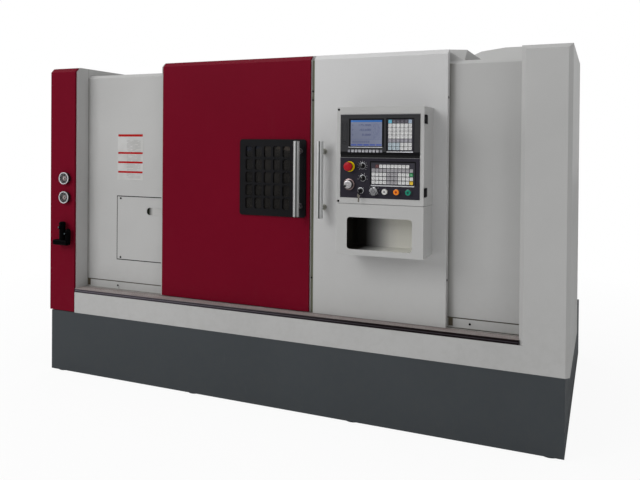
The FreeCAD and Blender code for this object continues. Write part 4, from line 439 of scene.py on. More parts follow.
def track_finish():
    """Door track: chip-strewn top with a painted shadow line, dark grooved front with a painted
    highlight along its upper edge.
    """
    finish = Finish("worn_track_steel", Specular_IOR_Level=0.05)
    speck = finish.noise(150.0, 4.0, 0.75)
    grime = finish.noise(9.0, 4.0, 0.7, finish.stretched(0.6, 2.0, 1.0))
    toward_right = finish.x.ramp(-0.9, 0.6)
    rib = abs(finish.z - (TRACK_TOP - 12.5 * MM)) < 1.9 * MM
    ledge_front = PANEL_FACE - 40 * MM
    # Painted shadow: a dark line along the top, just ahead of its light rear part
    painted_crevice_shadow = finish.y.between(ledge_front - 6 * MM, ledge_front)
    # Painted highlight along the upper edge of the front, fading out towards the right
    edge_top = TRACK_TOP - 0.4 * MM
    edge = finish.z.between(edge_top - 3 * MM, edge_top)
    front = finish.layered(finish.mix(toward_right, srgb(58, 54, 60), srgb(16, 9, 11)),
                           (rib * 0.6 * (1.0 - toward_right * 0.7), srgb(128, 124, 132)),
                           (speck.ramp(0.6, 0.7) * 0.4, srgb(70, 46, 46)))
    top = finish.layered(finish.blend(grime, srgb(142, 132, 130), srgb(176, 170, 168)),
                         (speck.ramp(0.50, 0.66) * 0.75, srgb(104, 74, 66)),
                         ((finish.y > ledge_front) * 0.9, srgb(166, 165, 160)),
                         (painted_crevice_shadow * 0.8, srgb(84, 72, 70)))
    shade = finish.layered(finish.mix(finish.z > edge_top, front, top),
                           (edge * (0.75 - toward_right * 0.75), srgb(150, 142, 142)))
    return finish.coat(shade, 0.55 + (speck - 0.5) * 0.4 - edge * 0.15, speck, 0.4 * MM, 0.6)


def bar_finish():
    """Satin pull bars: a painted reflection, a dark band down the front of each, and painted shade
    on their sides, over the left bar and on the left door's posts.
    """
    finish = Finish("satin_pull_bars", metal=0.55)
    left, right = BAR_CENTRES
    second = finish.x > (left.x + right.x) / 2
    across = (finish.x - left.x - second * (right.x - left.x)) / BAR_RADIUS
    ahead_of = (left.y - finish.y) / BAR_RADIUS
    shift = across + second * 0.24
    # Painted reflection: a dark band down the front of each bar
    reflection_band = shift.ramp(0.02, 0.14) * shift.ramp(0.70, 0.60) * (ahead_of > 0.1)
    edge = across.ramp(0.80, 0.98).or_more(across.ramp(-0.80, -0.98))
    streak = finish.noise(1.0, 5.0, 0.7, finish.stretched(300.0, 300.0, 3.0))
    shade = finish.blend(streak, srgb(196, 198, 198), srgb(222, 224, 224), 0.25, 0.75)
    posts = finish.y > left.y + BAR_RADIUS + 1 * MM
    # Posts painted as a shaded copy on the left door and a lit copy on the right
    post_light_and_shade = finish.mix(second, srgb(104, 100, 104), srgb(158, 158, 148))
    # Painted shade on both sides of each bar and over the whole left bar
    shade = finish.layered(shade, (edge * 0.12, srgb(84, 86, 86)),
                           ((1.0 - second) * 0.4, srgb(120, 121, 121)),
                           (reflection_band * 0.9, srgb(44, 45, 45)), (posts, post_light_and_shade))
    return finish.coat(shade, 0.3 + (streak - 0.5) * 0.25 + reflection_band * 0.08, streak, 0.05 * MM, 0.3)


def gauge_finish():
    """Chromed bezel on a black steel case."""
    finish = Finish("gauge_case")
    chrome = (finish.y < GAUGES_LOW.y + 5.5 * MM) * 1.0
    wipe = finish.noise(70.0, 3.0)
    bright = finish.blend(wipe, srgb(206, 210, 214), srgb(236, 238, 240))
    finish.set(Metallic=chrome * 0.35)
    return finish.coat(finish.mix(chrome, srgb(6, 6, 7), bright),
                       0.42 - chrome * 0.30 + (wipe - 0.5) * 0.12,
                       finish.noise(900.0, 1.0), 0.03 * MM, 0.4)


def window_finish():
    """Smoked laminated pane with a faint film of coolant and painted reflections near its top, warm
    at the right and blue at the left.
    """
    finish = Finish("smoked_pane", Specular_IOR_Level=0.08)
    film = finish.noise(9.0, 4.0, 0.65, finish.stretched(1.6, 1.0, 0.4))
    drops = finish.noise(160.0, 2.0).ramp(0.63, 0.7)
    # Painted reflections, only near the top of the pane
    painted_reflection = finish.noise(22.0, 3.0, 0.6).ramp(0.42, 0.62) * finish.z.ramp(1.385, 1.40)
    shade = finish.layered(finish.blend(film, srgb(29, 28, 27), srgb(39, 37, 35), 0.35, 0.7),
                           (painted_reflection * finish.x.ramp(-0.08, 0.16) * 0.8, srgb(120, 108, 98)),
                           (painted_reflection * finish.x.ramp(-0.05, -0.12) * 0.3, srgb(38, 52, 84)))
    finish.set(Alpha=0.93 + film * 0.06)
    return finish.coat(shade, 0.07 + film.ramp(0.4, 0.75) * 0.16 + drops * 0.12,
                       drops, 0.2 * MM, 0.25)


def belt_finish():
    """Black rubber with a woven back."""
    finish = Finish("belt_rubber")
    weave = finish.noise(1.0, 3.0, 0.6, finish.stretched(900.0, 120.0, 120.0))
    return finish.coat(finish.blend(weave, srgb(20, 20, 21), srgb(44, 43, 43)),
                       0.62 + (weave - 0.5) * 0.3, weave, 0.3 * MM, 0.6)


def across_and_up(finish, low, high):
    """Where a point lies between two corners, each way from 0 to 1."""
    return (finish.x - low.x) / (high.x - low.x), (finish.z - low.z) / (high.z - low.z)


def screen_finish():
    """Lit screen page: title bar, pale field, status columns, foot bar and soft key boxes."""
    finish = Finish("lit_screen", IOR=1.5, Emission_Strength=0.35)
    across, up = across_and_up(finish, SCREEN_LOW, SCREEN_HIGH)
    shade = finish.mix(across * 0.5 + up * 0.5, srgb(94, 99, 118), srgb(114, 121, 142))
    lines = ((up * 26.0).part() < 0.34) * up.between(0.30, 0.86) * across.between(0.70, 0.95)
    rule = up.between(0.262, 0.272).or_more(across.between(0.660, 0.666) * up.between(0.27, 0.92))
    foot = up.between(0.02, 0.085) * ((across * 5.0).part().between(0.06, 0.94))
    status = up.between(0.13, 0.21) * ((across * 16.0).part() < 0.6) * across.between(0.05, 0.6)
    pixels = ((finish.x * 2600.0).part() > 0.2) * ((finish.z * 2600.0).part() > 0.2)
    dashes = finish.noise(260.0, 0.0) > 0.46
    shade = finish.layered(shade, (up > 0.925, srgb(40, 92, 158)),
                           (lines * dashes * 0.75, srgb(58, 62, 110)),
                           (rule * 0.7, srgb(70, 78, 120)), (foot, srgb(62, 78, 140)),
                           (status * 0.55, srgb(60, 66, 104)),
                           ((1.0 - pixels) * 0.12, srgb(20, 22, 30)))
    finish.set(Emission_Color=shade)
    return finish.coat(shade, 0.12 + finish.noise(40.0, 2.0) * 0.1)


def key_finish(name, colour, mark, origin, pitch, size):
    """Key tops with a small plain mark on each, in a grid of the given pitch."""
    finish = Finish(name)
    column = (finish.x - origin.x) / pitch[0]
    row = (finish.z - origin.z) / pitch[1]
    across = column.part() * pitch[0] / size
    up = row.part() * pitch[1] / size
    choice = finish.term("TexWhiteNoise", {"noise_dimensions": "3D"},
                         {"Vector": finish.vector(column.whole(), row.whole(), 3.0)})
    wide = 0.5 - choice * 0.16
    stroke = across.between(0.2, 0.8) * (abs(across - 0.5) < wide * 0.5)
    bars = up.between(0.56, 0.68).or_more(up.between(0.34, 0.44) * (choice > 0.45))
    tops = finish.y < UNIT_FACE - 0.7 * MM
    legend = stroke * bars * (finish.noise(900.0, 0.0) > 0.44) * tops
    cloud = finish.noise(45.0, 2.0)
    return finish.coat(finish.mix(legend * 0.75, finish.varied(cloud, colour, 0.94, 1.05), mark),
                       0.38 + (cloud - 0.5) * 0.2, finish.noise(2200.0, 1.0), 0.02 * MM, 0.5)


def label_finish():
    """White sheet with plain colour bars and grey lines."""
    finish = Finish("printed_sheet", Specular_IOR_Level=0.08)
    across, up = across_and_up(finish, LABEL_LOW, LABEL_HIGH)
    cloud = finish.noise(12.0, 2.0)
    shade = finish.blend(cloud, srgb(188, 188, 186), srgb(199, 199, 198))
    lines = ((up * 44.0).part() < 0.34) * across.between(0.36, 0.90) * up.between(0.04, 0.88)
    ragged = finish.noise(30.0, 1.0, 0.5, finish.stretched(1.0, 1.0, 6.0)) > 0.42
    bars = [(up.between(*bar) * across.between(0.02, 0.98), srgb(170, 16, 22))
            for bar in LABEL_BARS]
    shade = finish.layered(shade, (lines * ragged * 0.55, srgb(120, 118, 118)), *bars)
    return finish.coat(shade, 0.42 + (cloud - 0.5) * 0.2, finish.noise(700.0, 1.0), 0.02 * MM, 0.4)


def dial_finish():
    """Dark gauge dials with a paler middle and a faint printed ring; the middle sits 4 mm right of
    the centre, so the wider dark crescent at its left is painted shade of the bezel.
    """
    finish = Finish("gauge_dial_print")
    cloud = finish.noise(90.0, 2.0)
    shade = finish.blend(cloud, srgb(14, 13, 15), srgb(24, 22, 24))
    for centre in GAUGE_CENTRES:
        # Set 4 mm to the right: the dark crescent left of the pale middle is painted shade
        radius = finish.from_point(centre + Vector((4 * MM, 0, 0)))
        shade = finish.layered(shade, (radius < 14.0 * MM, srgb(140, 124, 124)),
                               (radius < 6.0 * MM, srgb(70, 60, 62)),
                               (radius.between(18.2 * MM, 18.8 * MM), srgb(120, 120, 120)))
    return finish.coat(shade, 0.45 + (cloud - 0.5) * 0.2)


def wheel_finish():
    """Turned aluminium with a darker hub ring, a dark groove and a graduated rim."""
    finish = Finish("turned_handwheel", metal=0.85)
    radius = finish.from_point(HANDWHEEL)
    turn = finish.math("ARCTAN2", finish.z - HANDWHEEL.z, finish.x - HANDWHEEL.x)
    rings = finish.noise(1.0, 4.0, 0.75, finish.vector(radius * 1400.0, 0.0, 0.0))
    shade = finish.blend(rings, srgb(146, 142, 144), srgb(190, 188, 190), 0.25, 0.75)
    dark = ((turn * (100.0 / (2 * pi))).part() < 0.3) * (radius > 25.0 * MM)
    for inner, outer in ((6.4, 8.0), (11.8, 12.8), (20.0, 24.6)):
        dark = dark.or_more(radius.between(inner * MM, outer * MM))
    return finish.coat(finish.mix(dark * 0.85, shade, srgb(30, 28, 30)),
                       0.3 + (rings - 0.5) * 0.3, rings, 0.05 * MM, 0.4)

# ---- Modelling helpers ----


def deselect():
    bpy.ops.object.select_all(action="DESELECT")


def choose(piece):
    """Makes a piece the only selected and the active one."""
    deselect()
    piece.select_set(True)
    bpy.context.view_layer.objects.active = piece


def begin(add, **options):
    """Adds a primitive at its size and place and opens it in edit mode."""
    deselect()
    add(**options)
    bpy.ops.object.transform_apply(location=True, rotation=True, scale=True)
    bpy.ops.object.mode_set(mode="EDIT")
    bpy.ops.mesh.select_all(action="SELECT")


def cube(low, high):
    """Box between two corners, open in edit mode."""
    low, high = Vector(low), Vector(high)
    begin(bpy.ops.mesh.primitive_cube_add, size=1.0, location=(low + high) / 2)
    bpy.ops.transform.resize(value=high - low, center_override=(low + high) / 2)


def drum(radius, depth, centre, sides=32):
    """Cylinder about an axis along Y, open in edit mode."""
    begin(bpy.ops.mesh.primitive_cylinder_add, vertices=sides, radius=radius, depth=depth,
          location=centre, rotation=(pi / 2, 0, 0))


def pick(kind, test):
    """Selects, in edit mode, only the faces or edges whose middle and direction pass."""
    bpy.ops.mesh.select_mode(type=kind)
    bpy.ops.mesh.select_all(action="DESELECT")
    mesh = bmesh.from_edit_mesh(bpy.context.object.data)
    if kind == "FACE":
        for face in mesh.faces:
            if test(face.calc_center_median(), face.normal):
                face.select_set(True)
    else:
        for edge in mesh.edges:
            ends = [vertex.co for vertex in edge.verts]
            if test((ends[0] + ends[1]) / 2, (ends[1] - ends[0]).normalized()):
                edge.select_set(True)
    mesh.select_flush_mode()
    bmesh.update_edit_mesh(bpy.context.object.data)


def inset(width):
    bpy.ops.mesh.inset(thickness=width, depth=0.0)


def moved(depth):
    """Moves what is selected along Y."""
    bpy.ops.transform.translate(value=(0, depth, 0))


def pushed_in(depth):
    """Extrudes the selected faces along Y."""
    bpy.ops.mesh.extrude_region_move(TRANSFORM_OT_translate={"value": (0, depth, 0)})


def inset_front(border):
    """Insets the faces that look towards -Y."""
    pick("FACE", lambda middle, normal: normal.y < -0.99)
    inset(border)


def recess(border, depth):
    """Sinks the middle of the front face."""
    inset_front(border)
    pushed_in(depth)


def slope_front(border, depth):
    """Moves the middle of the front face along Y, with a slope around it."""
    inset_front(border)
    moved(depth)


def bevel(width, segments, test):
    """Rounds the edges whose middle and direction pass."""
    pick("EDGE", test)
    bpy.ops.mesh.bevel(offset=width, segments=segments, affect="EDGES")


def close():
    """Leaves edit mode with the normals outward."""
    bpy.ops.mesh.select_all(action="SELECT")
    bpy.ops.mesh.normals_make_consistent(inside=False)
    bpy.ops.object.mode_set(mode="OBJECT")
    return bpy.context.object


def finished(name, finish, body, angle=35, piece=None):
    """Names a piece, by default the one in edit mode, dresses it and lets it ride on its body."""
    piece = piece or close()
    choose(piece)
    bpy.ops.object.shade_smooth_by_angle(angle=radians(angle))
    piece.name = name
    piece.data.name = name
    piece.data.materials.clear()
    piece.data.materials.append(finish.material)
    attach(piece, body)


def copies(template, places):
    """One mesh object with a copy of the template at each place; the template goes."""
    made = []
    for place in places:
        matrix = place if isinstance(place, Matrix) else Matrix.Translation(place)
        mesh = template.data.copy()
        mesh.transform(matrix)
        piece = bpy.data.objects.new(template.name, mesh)
        bpy.context.collection.objects.link(piece)
        made.append(piece)
    choose(made[0])
    for piece in made:
        piece.select_set(True)
    if len(made) > 1:
        bpy.ops.object.join()
    bpy.data.objects.remove(template, do_unlink=True)
    return made[0]


def cut_away(piece, tool):
    """Takes a tool's volume out of a piece; the tool goes."""
    choose(piece)
    cut = piece.modifiers.new("cut", "BOOLEAN")
    cut.operation = "DIFFERENCE"
    cut.solver = "EXACT"
    cut.object = tool
    bpy.ops.object.modifier_apply(modifier=cut.name)
    bpy.data.objects.remove(tool, do_unlink=True)


def turned(centre, angle):
    """Place at a centre, turned about Y."""
    return Matrix.Translation(centre) @ Matrix.Rotation(angle, 4, "Y")


def ahead(point, distance):
    """The point that far in front of another."""
    return point - Vector((0, distance, 0))


def at_depth(point, y):
    """The point moved to a depth."""
    return Vector((point.x, y, point.z))


def plate(low, high, corner, edge, steps=5):
    """Flat plate in an XZ plane with rounded corners and a softened front edge."""
    def on_rim(middle):
        """Whether a point lies on the outer outline, not on the inset face."""
        near_side = min(abs(middle.x - low[0]), abs(middle.x - high[0]))
        near_end = min(abs(middle.z - low[2]), abs(middle.z - high[2]))
        return min(near_side, near_end) < edge * 0.5

    cube(low, high)
    bevel(corner, steps, lambda middle, along: abs(along.y) > 0.9)
    inset_front(edge)
    pick("EDGE", lambda middle, along: abs(middle.y - low[1]) < 1e-6 and on_rim(middle))
    moved(edge * 0.8)


def unit_plate(low, high, proud, sunk, corner, edge, steps=5, grow=0.0):
    """Plate on a panel unit's face, between two depths about the face."""
    plate((low.x - grow, UNIT_FACE - proud, low.z - grow),
          (high.x + grow, UNIT_FACE + sunk, high.z + grow), corner, edge, steps)


# ---- Finishes of the model's own nodes ----

LIGHT_GREY = srgb(184, 184, 183)
STEEL = srgb(176, 177, 180)

light_paint = painted("light_grey_enamel", LIGHT_GREY, rough=0.42, dust=0.12, gleam=0.06,
                      spots=[(PANEL_SEAM_SHADE, srgb(96, 94, 86), 0.6),
                             (access_gap, srgb(52, 52, 50), 0.6),
                             (STRIP_JOINT, srgb(80, 80, 78), 0.6),
                             (corner_grime_and_shade, srgb(70, 66, 48), 0.7),
                             (LIP_PAINTED_SHADE, srgb(104, 106, 90), 0.6),
                             (SIDE_LATCHES, srgb(10, 10, 11), 0.5)])
door_paint = painted("door_white_enamel", srgb(203, 203, 203), dust=0.12, gleam=0.12,
                     spots=[(door_foot_painted_shade, srgb(172, 172, 170), 0.42)])
red_paint = painted("dark_red_enamel", srgb(110, 12, 33), dust=0.03, gleam=0.02, rub=0.01)
base_paint = painted("base_grey_enamel", srgb(68, 72, 75), rough=0.5, dust=0.04, gleam=0.05)
box_paint = painted("box_light_enamel", LIGHT_GREY, rough=0.40, dust=0.0, gleam=0.12,
                    spots=[(SEAM, srgb(10, 10, 11), 0.5), (KNUCKLES, srgb(16, 16, 17), 0.5),
                           (pocket_painted_light, srgb(216, 215, 208), 0.5),
                           (pocket_painted_shade, srgb(12, 10, 6), 0.6)])
black_plastic = moulded("black_plastic", srgb(22, 22, 24), gleam=0.05)
unit_spots = [(FIELD_EDGES, srgb(12, 12, 14), 0.5), (KEY_FIELDS, srgb(62, 61, 68), 0.45),
              (UPPER_EDGES, srgb(108, 108, 110), 0.4)]
stop_collar = (disc_mask(STOP, 25.5 * MM, UNIT_FACE - 0.4 * MM), srgb(238, 200, 16), 0.4)
panel_plastic = moulded("dark_panel_plastic", srgb(44, 42, 50), rough=0.42, grain=1100.0,
                        gleam=0.06, spots=unit_spots + [stop_collar])
display_plastic = moulded("display_plastic", srgb(56, 56, 58), rough=0.42, grain=1100.0,
                          gleam=0.06, spots=unit_spots)
knob_plastic = moulded("knob_plastic", srgb(22, 22, 24), rough=0.34)
stop_plastic = moulded("stop_red_plastic", srgb(164, 22, 34), rough=0.3, gleam=0.12,
                       spots=[(behind(UNIT_FACE - 31.5 * MM), srgb(20, 20, 22), 0.4)])
fitting_plastic = moulded("black_fitting_plastic", srgb(2, 2, 3), rough=0.4, gleam=0.02)
bar_steel = bar_finish()
steel_x = ground_steel("ground_steel_along", STEEL)
nickel = ground_steel("nickelled_brass", srgb(190, 187, 178), (120.0, 120.0, 40.0), 0.24)
spindle_steel = turned_steel("turned_spindle_steel", STEEL, SPINDLE)
turret_steel = turned_steel("turned_turret_steel", srgb(150, 151, 154), TURRET_AXIS)
tool_steel = ground_steel("blackened_tool_steel", srgb(88, 88, 91), (40.0, 40.0, 40.0), 0.4)
aluminium = ground_steel("turned_aluminium", srgb(196, 197, 199), (300.0, 3.0, 300.0), 0.3)
motor_paint = painted("motor_black_enamel", srgb(44, 48, 52), rough=0.42, dust=0.2)
hydraulic_paint = painted("hydraulic_grey_enamel", srgb(86, 90, 93), rough=0.4)

NODE_FINISH = {
    light_paint: ["left_end_cover", "enclosure_frame", "front_panel_left", "front_panel_right",
                  "access_panel", "roof_enclosure", "electrical_cabinet", "cabinet_door",
                  "left_door"],
    door_paint: ["right_door"],
    red_paint: ["left_front_panel", "left_door_skin"],
    base_paint: ["base_plinth"],
    box_paint: ["control_box", "control_box_door"],
    black_plastic: ["window_grille", "box_hinges"],
    panel_plastic: ["operator_panel"],
    display_plastic: ["display_unit"],
    knob_plastic: ["feed_override_knob", "rapid_override_knob", "handwheel", "key_switch"],
    stop_plastic: ["emergency_stop"],
    fitting_plastic: ["air_filter_unit", "regulator_knob"],
    bar_steel: ["left_door_handle", "right_door_handle"],
    steel_x: ["z_ball_screw", "x_ball_screw", "tailstock_quill"],
    aluminium: ["spindle_override_dial"],
    spindle_steel: ["spindle", "spindle_pulley", "chuck_cylinder", "chuck_body",
                    "spindle_bearings", "chuck_jaw_1", "chuck_jaw_2", "chuck_jaw_3",
                    "live_centre", "motor_pulley"],
    turret_steel: ["turret_disc"],
    tool_steel: ["turret_tools"],
    motor_paint: ["spindle_motor", "z_servo_motor", "x_servo_motor"],
    hydraulic_paint: ["hydraulic_unit"],
    cast_iron("cast_enamel", srgb(150, 154, 155)): ["headstock", "tailstock", "saddle",
                                                    "cross_slide"],
    cast_iron("bed_cast_enamel", srgb(142, 146, 147)): ["slant_bed"],
    window_finish(): ["window_glass"],
    gauge_finish(): ["pressure_gauges"],
    track_finish(): ["door_tracks"],
    belt_finish(): ["drive_belt"],
}
BUTTON_COLOURS = {"white": (srgb(206, 205, 202), srgb(132, 131, 132)),
                  "orange": (srgb(240, 132, 20), srgb(150, 52, 16)),
                  "green": (srgb(10, 128, 104), srgb(6, 62, 52))}
for name, (colour, middle_colour) in BUTTON_COLOURS.items():
    middle = disc_mask(BUTTONS[name], 5.8 * MM, UNIT_FACE - 4 * MM)
    plastic = moulded(name + "_button_plastic", colour, rough=0.25, Coat_Weight=0.4,
                      spots=[(middle, middle_colour, 0.3)])
    NODE_FINISH[plastic] = [name + "_button"]

dressed = set()
for finish, names in NODE_FINISH.items():
    for name in names:
        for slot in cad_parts[name].material_slots:
            slot.link = "OBJECT"
            slot.material = finish.material
        dressed.add(name)
print("nodes without a finish:", sorted(set(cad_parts) - dressed))

# ---- Screws, sleeves and small plates of the enclosure ----

screw_black = moulded("blackened_screw", srgb(12, 12, 13), rough=0.4, gleam=0.05)


def screws(name, places, radius, height, body):
    """Button heads with a six-sided socket, their seats at the places, facing -Y."""
    drum(radius * 0.46, height, (0, -height * 0.95, 0), 6)
    socket = close()
    drum(radius, height, (0, -height / 2, 0), 28)
    bevel(height * 0.55, 4, lambda middle, along: middle.y < -height * 0.9)
    head = close()
    cut_away(head, socket)
    finished(name, screw_black, body, piece=copies(head, places))


STRIP_SCREW_XS = (-1.095, -0.58, 1.067)
DOOR_EDGE_SCREW_ZS = (1.666, 0.761)
LIP_SCREW_ZS = (1.713, 1.666, 0.714)
BOX_SCREW_ZS = (BOX_HIGH.z - 12 * MM, 1.149)
screws("panel_screws", [(x, PANEL_FACE, TRACK_TOP + STRIP_SCREWS_UP) for x in STRIP_SCREW_XS],
       5.5 * MM, 2.6 * MM, "machine")
facing_right = Matrix.Rotation(pi / 2, 4, "Z")
edge_y = (RIGHT_DOOR_LOW.y + RIGHT_DOOR_HIGH.y) / 2
screws("right_door_edge_screws",
       [Matrix.Translation((RIGHT_DOOR_HIGH.x, edge_y, z)) @ facing_right
        for z in DOOR_EDGE_SCREW_ZS], 6.0 * MM, 2.4 * MM, "right_door")
LIP_X, LIP_FACE = SKIN_HIGH.x + 11 * MM, DOOR_FACE + 14 * MM
screws("meeting_strip_screws", [(LIP_X, LIP_FACE, z) for z in LIP_SCREW_ZS],
       5.0 * MM, 2.2 * MM, "left_door")
screws("access_panel_screws",
       [(x, ACCESS_LOW.y, z) for x in (ACCESS_LOW.x + 26 * MM, ACCESS_HIGH.x - 26 * MM)
        for z in (ACCESS_HIGH.z - 12 * MM, ACCESS_LOW.z + 12 * MM)],
       6.0 * MM, 2.4 * MM, "machine")
screws("control_box_screws",
       [(BOX_LOW.x + 9 * MM, CONTROL_FACE, z) for z in BOX_SCREW_ZS],
       5.6 * MM, 2.2 * MM, "box_door")

# Sleeves on the posts of the pull bars
POST_HEIGHTS = (1.097, 1.392)
SLEEVE_ENDS = (-0.743, -0.734)     # on the left and on the right door's face
for name, centre, front in zip(("left", "right"), BAR_CENTRES, SLEEVE_ENDS):
    back = centre.y + 12 * MM
    depth, half_way = front - back, (front + back) / 2
    drum(13 * MM, depth, (0, half_way, 0))
    bevel(0.8 * MM, 2, lambda middle, along: abs(middle.y - half_way) > depth * 0.45)
    pair = copies(close(), [Vector((centre.x, 0, z)) for z in POST_HEIGHTS])
    finished(name + "_handle_sleeves", bar_steel, name + "_door", piece=pair)

# Closing plates behind the open corners of the foot strips, dark with grease and painted shade
corner_shade_paint = painted("greasy_shaded_corner_enamel", srgb(92, 84, 70), rough=0.6, dust=0.5, gleam=0.05)
for name, start in (("left_corner_plate", PANEL_LOW.x + 2 * MM),
                    ("right_corner_plate", RIGHT_DOOR_HIGH.x + 3 * MM)):
    plate((start, PANEL_FACE + 1.2 * MM, TRACK_TOP + 2 * MM),
          (start + 24 * MM, PANEL_FACE + 2.6 * MM, TRACK_TOP + 43 * MM), 1.5 * MM, 0.4 * MM)
    finished(name, corner_shade_paint, "machine")

# Sheet seen through the finger slot of the access panel, dark at its left end
SLOT_LEFT, SLOT_RIGHT, SLOT_FOOT, SLOT_TOP = -0.884, -0.762, 0.989, 1.043


def slot_shade(finish):
    """Dark left end of the sheet."""
    return finish.x.ramp(SLOT_LEFT + 48 * MM, SLOT_LEFT + 20 * MM)


slot_back = painted("slot_backing_enamel", srgb(188, 188, 186), dust=0.0, gleam=0.05,
                    spots=[(slot_shade, srgb(18, 24, 14), 0.6)])
plate((SLOT_LEFT, ACCESS_LOW.y + 3.4 * MM, SLOT_FOOT),
      (SLOT_RIGHT, ACCESS_LOW.y + 4.4 * MM, SLOT_TOP), 4 * MM, 0.3 * MM)
finished("slot_backing", slot_back, "machine")

# Plain sheet on the left recessed panel
plate(ahead(LABEL_LOW, 0.9 * MM), LABEL_HIGH + Vector((0, PAST, 0)), 6 * MM, 0.4 * MM)
finished("plain_sheet", label_finish(), "machine")

# ---- Pressure gauges ----

gauge_dial = dial_finish()
white_print = moulded("white_print", srgb(214, 214, 212), rough=0.4)
clear_pane = Finish("clear_pane", rough=0.04, Specular_IOR_Level=0.1)
clear_pane.set(Base_Color=clear_pane.mix(clear_pane.noise(50.0, 2.0), srgb(70, 74, 76),
                                         srgb(96, 100, 102)),
               Alpha=0.02 + clear_pane.noise(30.0, 2.0) * 0.03)


def gauge(name, centre, reading):
    """Dial, graduation, needle and pane of one gauge; centre is on the dial's face."""
    drum(30.5 * MM, 1.8 * MM, ahead(centre, 0.6 * MM), 48)
    recess(2.2 * MM, 0.6 * MM)
    finished(name + "_dial", gauge_dial, "machine")
    cube((-0.5 * MM, -1.2 * MM, 22 * MM), (0.5 * MM, -0.8 * MM, 26 * MM))
    inset_front(0.12 * MM)
    marks = copies(close(), [turned(centre, radians(-135 + 45 * step)) for step in range(7)])
    finished(name + "_graduation", white_print, "machine", piece=marks)
    cube((-1.5 * MM, -2.2 * MM, -7 * MM), (1.5 * MM, -1.5 * MM, 22 * MM))
    pick("FACE", lambda middle, normal: normal.z > 0.9)
    bpy.ops.transform.resize(value=(0.2, 1.0, 1.0), center_override=(0, -1.8 * MM, 22 * MM))
    bevel(0.2 * MM, 1, lambda middle, along: abs(along.z) > 0.7 and middle.y < -1.8 * MM)
    needle = copies(close(), [turned(centre, reading)])
    finished(name + "_needle", white_print, "machine", piece=needle)
    drum(3.2 * MM, 3.0 * MM, ahead(centre, 1.5 * MM), 24)
    bevel(0.8 * MM, 3, lambda middle, along: middle.y < centre.y - 2.8 * MM)
    finished(name + "_hub", nickel, "machine")
    drum(31.2 * MM, 1.0 * MM, ahead(centre, 3.9 * MM), 48)
    slope_front(6 * MM, -0.35 * MM)
    finished(name + "_pane", clear_pane, "machine")


gauge("lower_gauge", GAUGE_CENTRES[0], radians(38))
gauge("upper_gauge", GAUGE_CENTRES[1], radians(44))

# ---- Display unit and operator panel ----

silver_trim = ground_steel("silver_trim", srgb(186, 187, 190), (5.0, 300.0, 300.0), 0.3)

unit_plate(SCREEN_LOW, SCREEN_HIGH + Vector((0, 0, 1 * MM)), 1.4 * MM, PAST, 3 * MM, 0.8 * MM,
           grow=5 * MM)
recess(4.2 * MM, 1.5 * MM)
finished("screen_bezel", black_plastic, "box_door")
unit_plate(SCREEN_LOW, SCREEN_HIGH, 0.5 * MM, 1.8 * MM, 1.5 * MM, 0.3 * MM, grow=-PAST)
finished("screen_page", screen_finish(), "box_door")

# Plain figures on the screen: text, right end and foot, height
figure_ink = moulded("screen_figures", srgb(54, 58, 106), rough=0.3)
upright = Matrix.Rotation(pi / 2, 4, "X") @ Matrix.Diagonal((1.45, 1, 1, 1))
for name, text, right, foot, height in (
        ("figures_upper", "175.000", 104, 1.519, 14), ("figures_middle", "-42.600", 104, 1.496, 14),
        ("figures_lower", "0.000", 104, 1.472, 14), ("axis_letter_x", "X", 14, 1.521, 9),
        ("axis_letter_y", "Y", 14, 1.498, 9), ("axis_letter_z", "Z", 14, 1.474, 9)):
    deselect()
    bpy.ops.object.text_add(location=(0, 0, 0))
    words = bpy.context.object.data
    words.body = text
    words.size = height * MM
    words.align_x = "RIGHT"
    words.extrude = 0.05 * MM
    bpy.ops.object.convert(target="MESH")
    row = bpy.context.object
    end = Vector((SCREEN_LOW.x + right * MM, UNIT_FACE - 0.52 * MM, foot))
    row.data.transform(Matrix.Translation(end) @ upright)
    finished(name, figure_ink, "box_door", 60, row)

# Silver trim lines and the light upper edges of both units
for name, low, high in (
        ("screen_trim", on_display(43, 34), on_display(217, 37.5)),
        ("data_key_trim", on_display(239, 12.5), on_display(369, 16)),
        ("operator_key_trim", element(160, 60), element(376, 65)),
        ("display_edge_trim", on_display(3, 191.5), on_display(399, 193.5)),
        ("operator_edge_trim", element(3, 192.5), element(399, 194.5))):
    unit_plate(low, high, 1.2 * MM, PAST, 0.9 * MM, 0.4 * MM, 3)
    dark = name.endswith("edge_trim")
    finished(name, panel_plastic if dark else silver_trim, "box_door")

unit_plate(on_display(11, 51), on_display(35, 155), 0.9 * MM, 4 * MM, 2.0 * MM, 0.6 * MM)
recess(2.2 * MM, 0.7 * MM)
finished("card_slot_cover", display_plastic, "box_door")
unit_plate(on_display(15, 62), on_display(31, 65), 1.6 * MM, 0.0, 1.0 * MM, 0.4 * MM)
finished("card_slot_grip", knob_plastic, "box_door")


def key_set(prefix, origin, pitch, size, proud, groups):
    """Key caps with a dished face at (column, row) cells of one field, a piece per colour."""
    for name, colour, mark, slot, taken in groups:
        finish = key_finish(f"{prefix}_{name}_finish", colour, mark, origin, pitch, size)
        plate((0, -1.3 * MM, 0), (size, 0.4 * MM, size), 1.4 * MM, 0.45 * MM, 3)
        slope_front(1.6 * MM, 0.35 * MM)
        places = [Vector((origin.x + column * pitch[0], UNIT_FACE - proud,
                          origin.z + row * pitch[1])) for column, row in taken]
        finished(f"{prefix}_{name}", finish, "box_door", 40, copies(close(), places))


def cells(columns, rows):
    """Every cell of these columns and rows."""
    return [(column, row) for column in columns for row in rows]


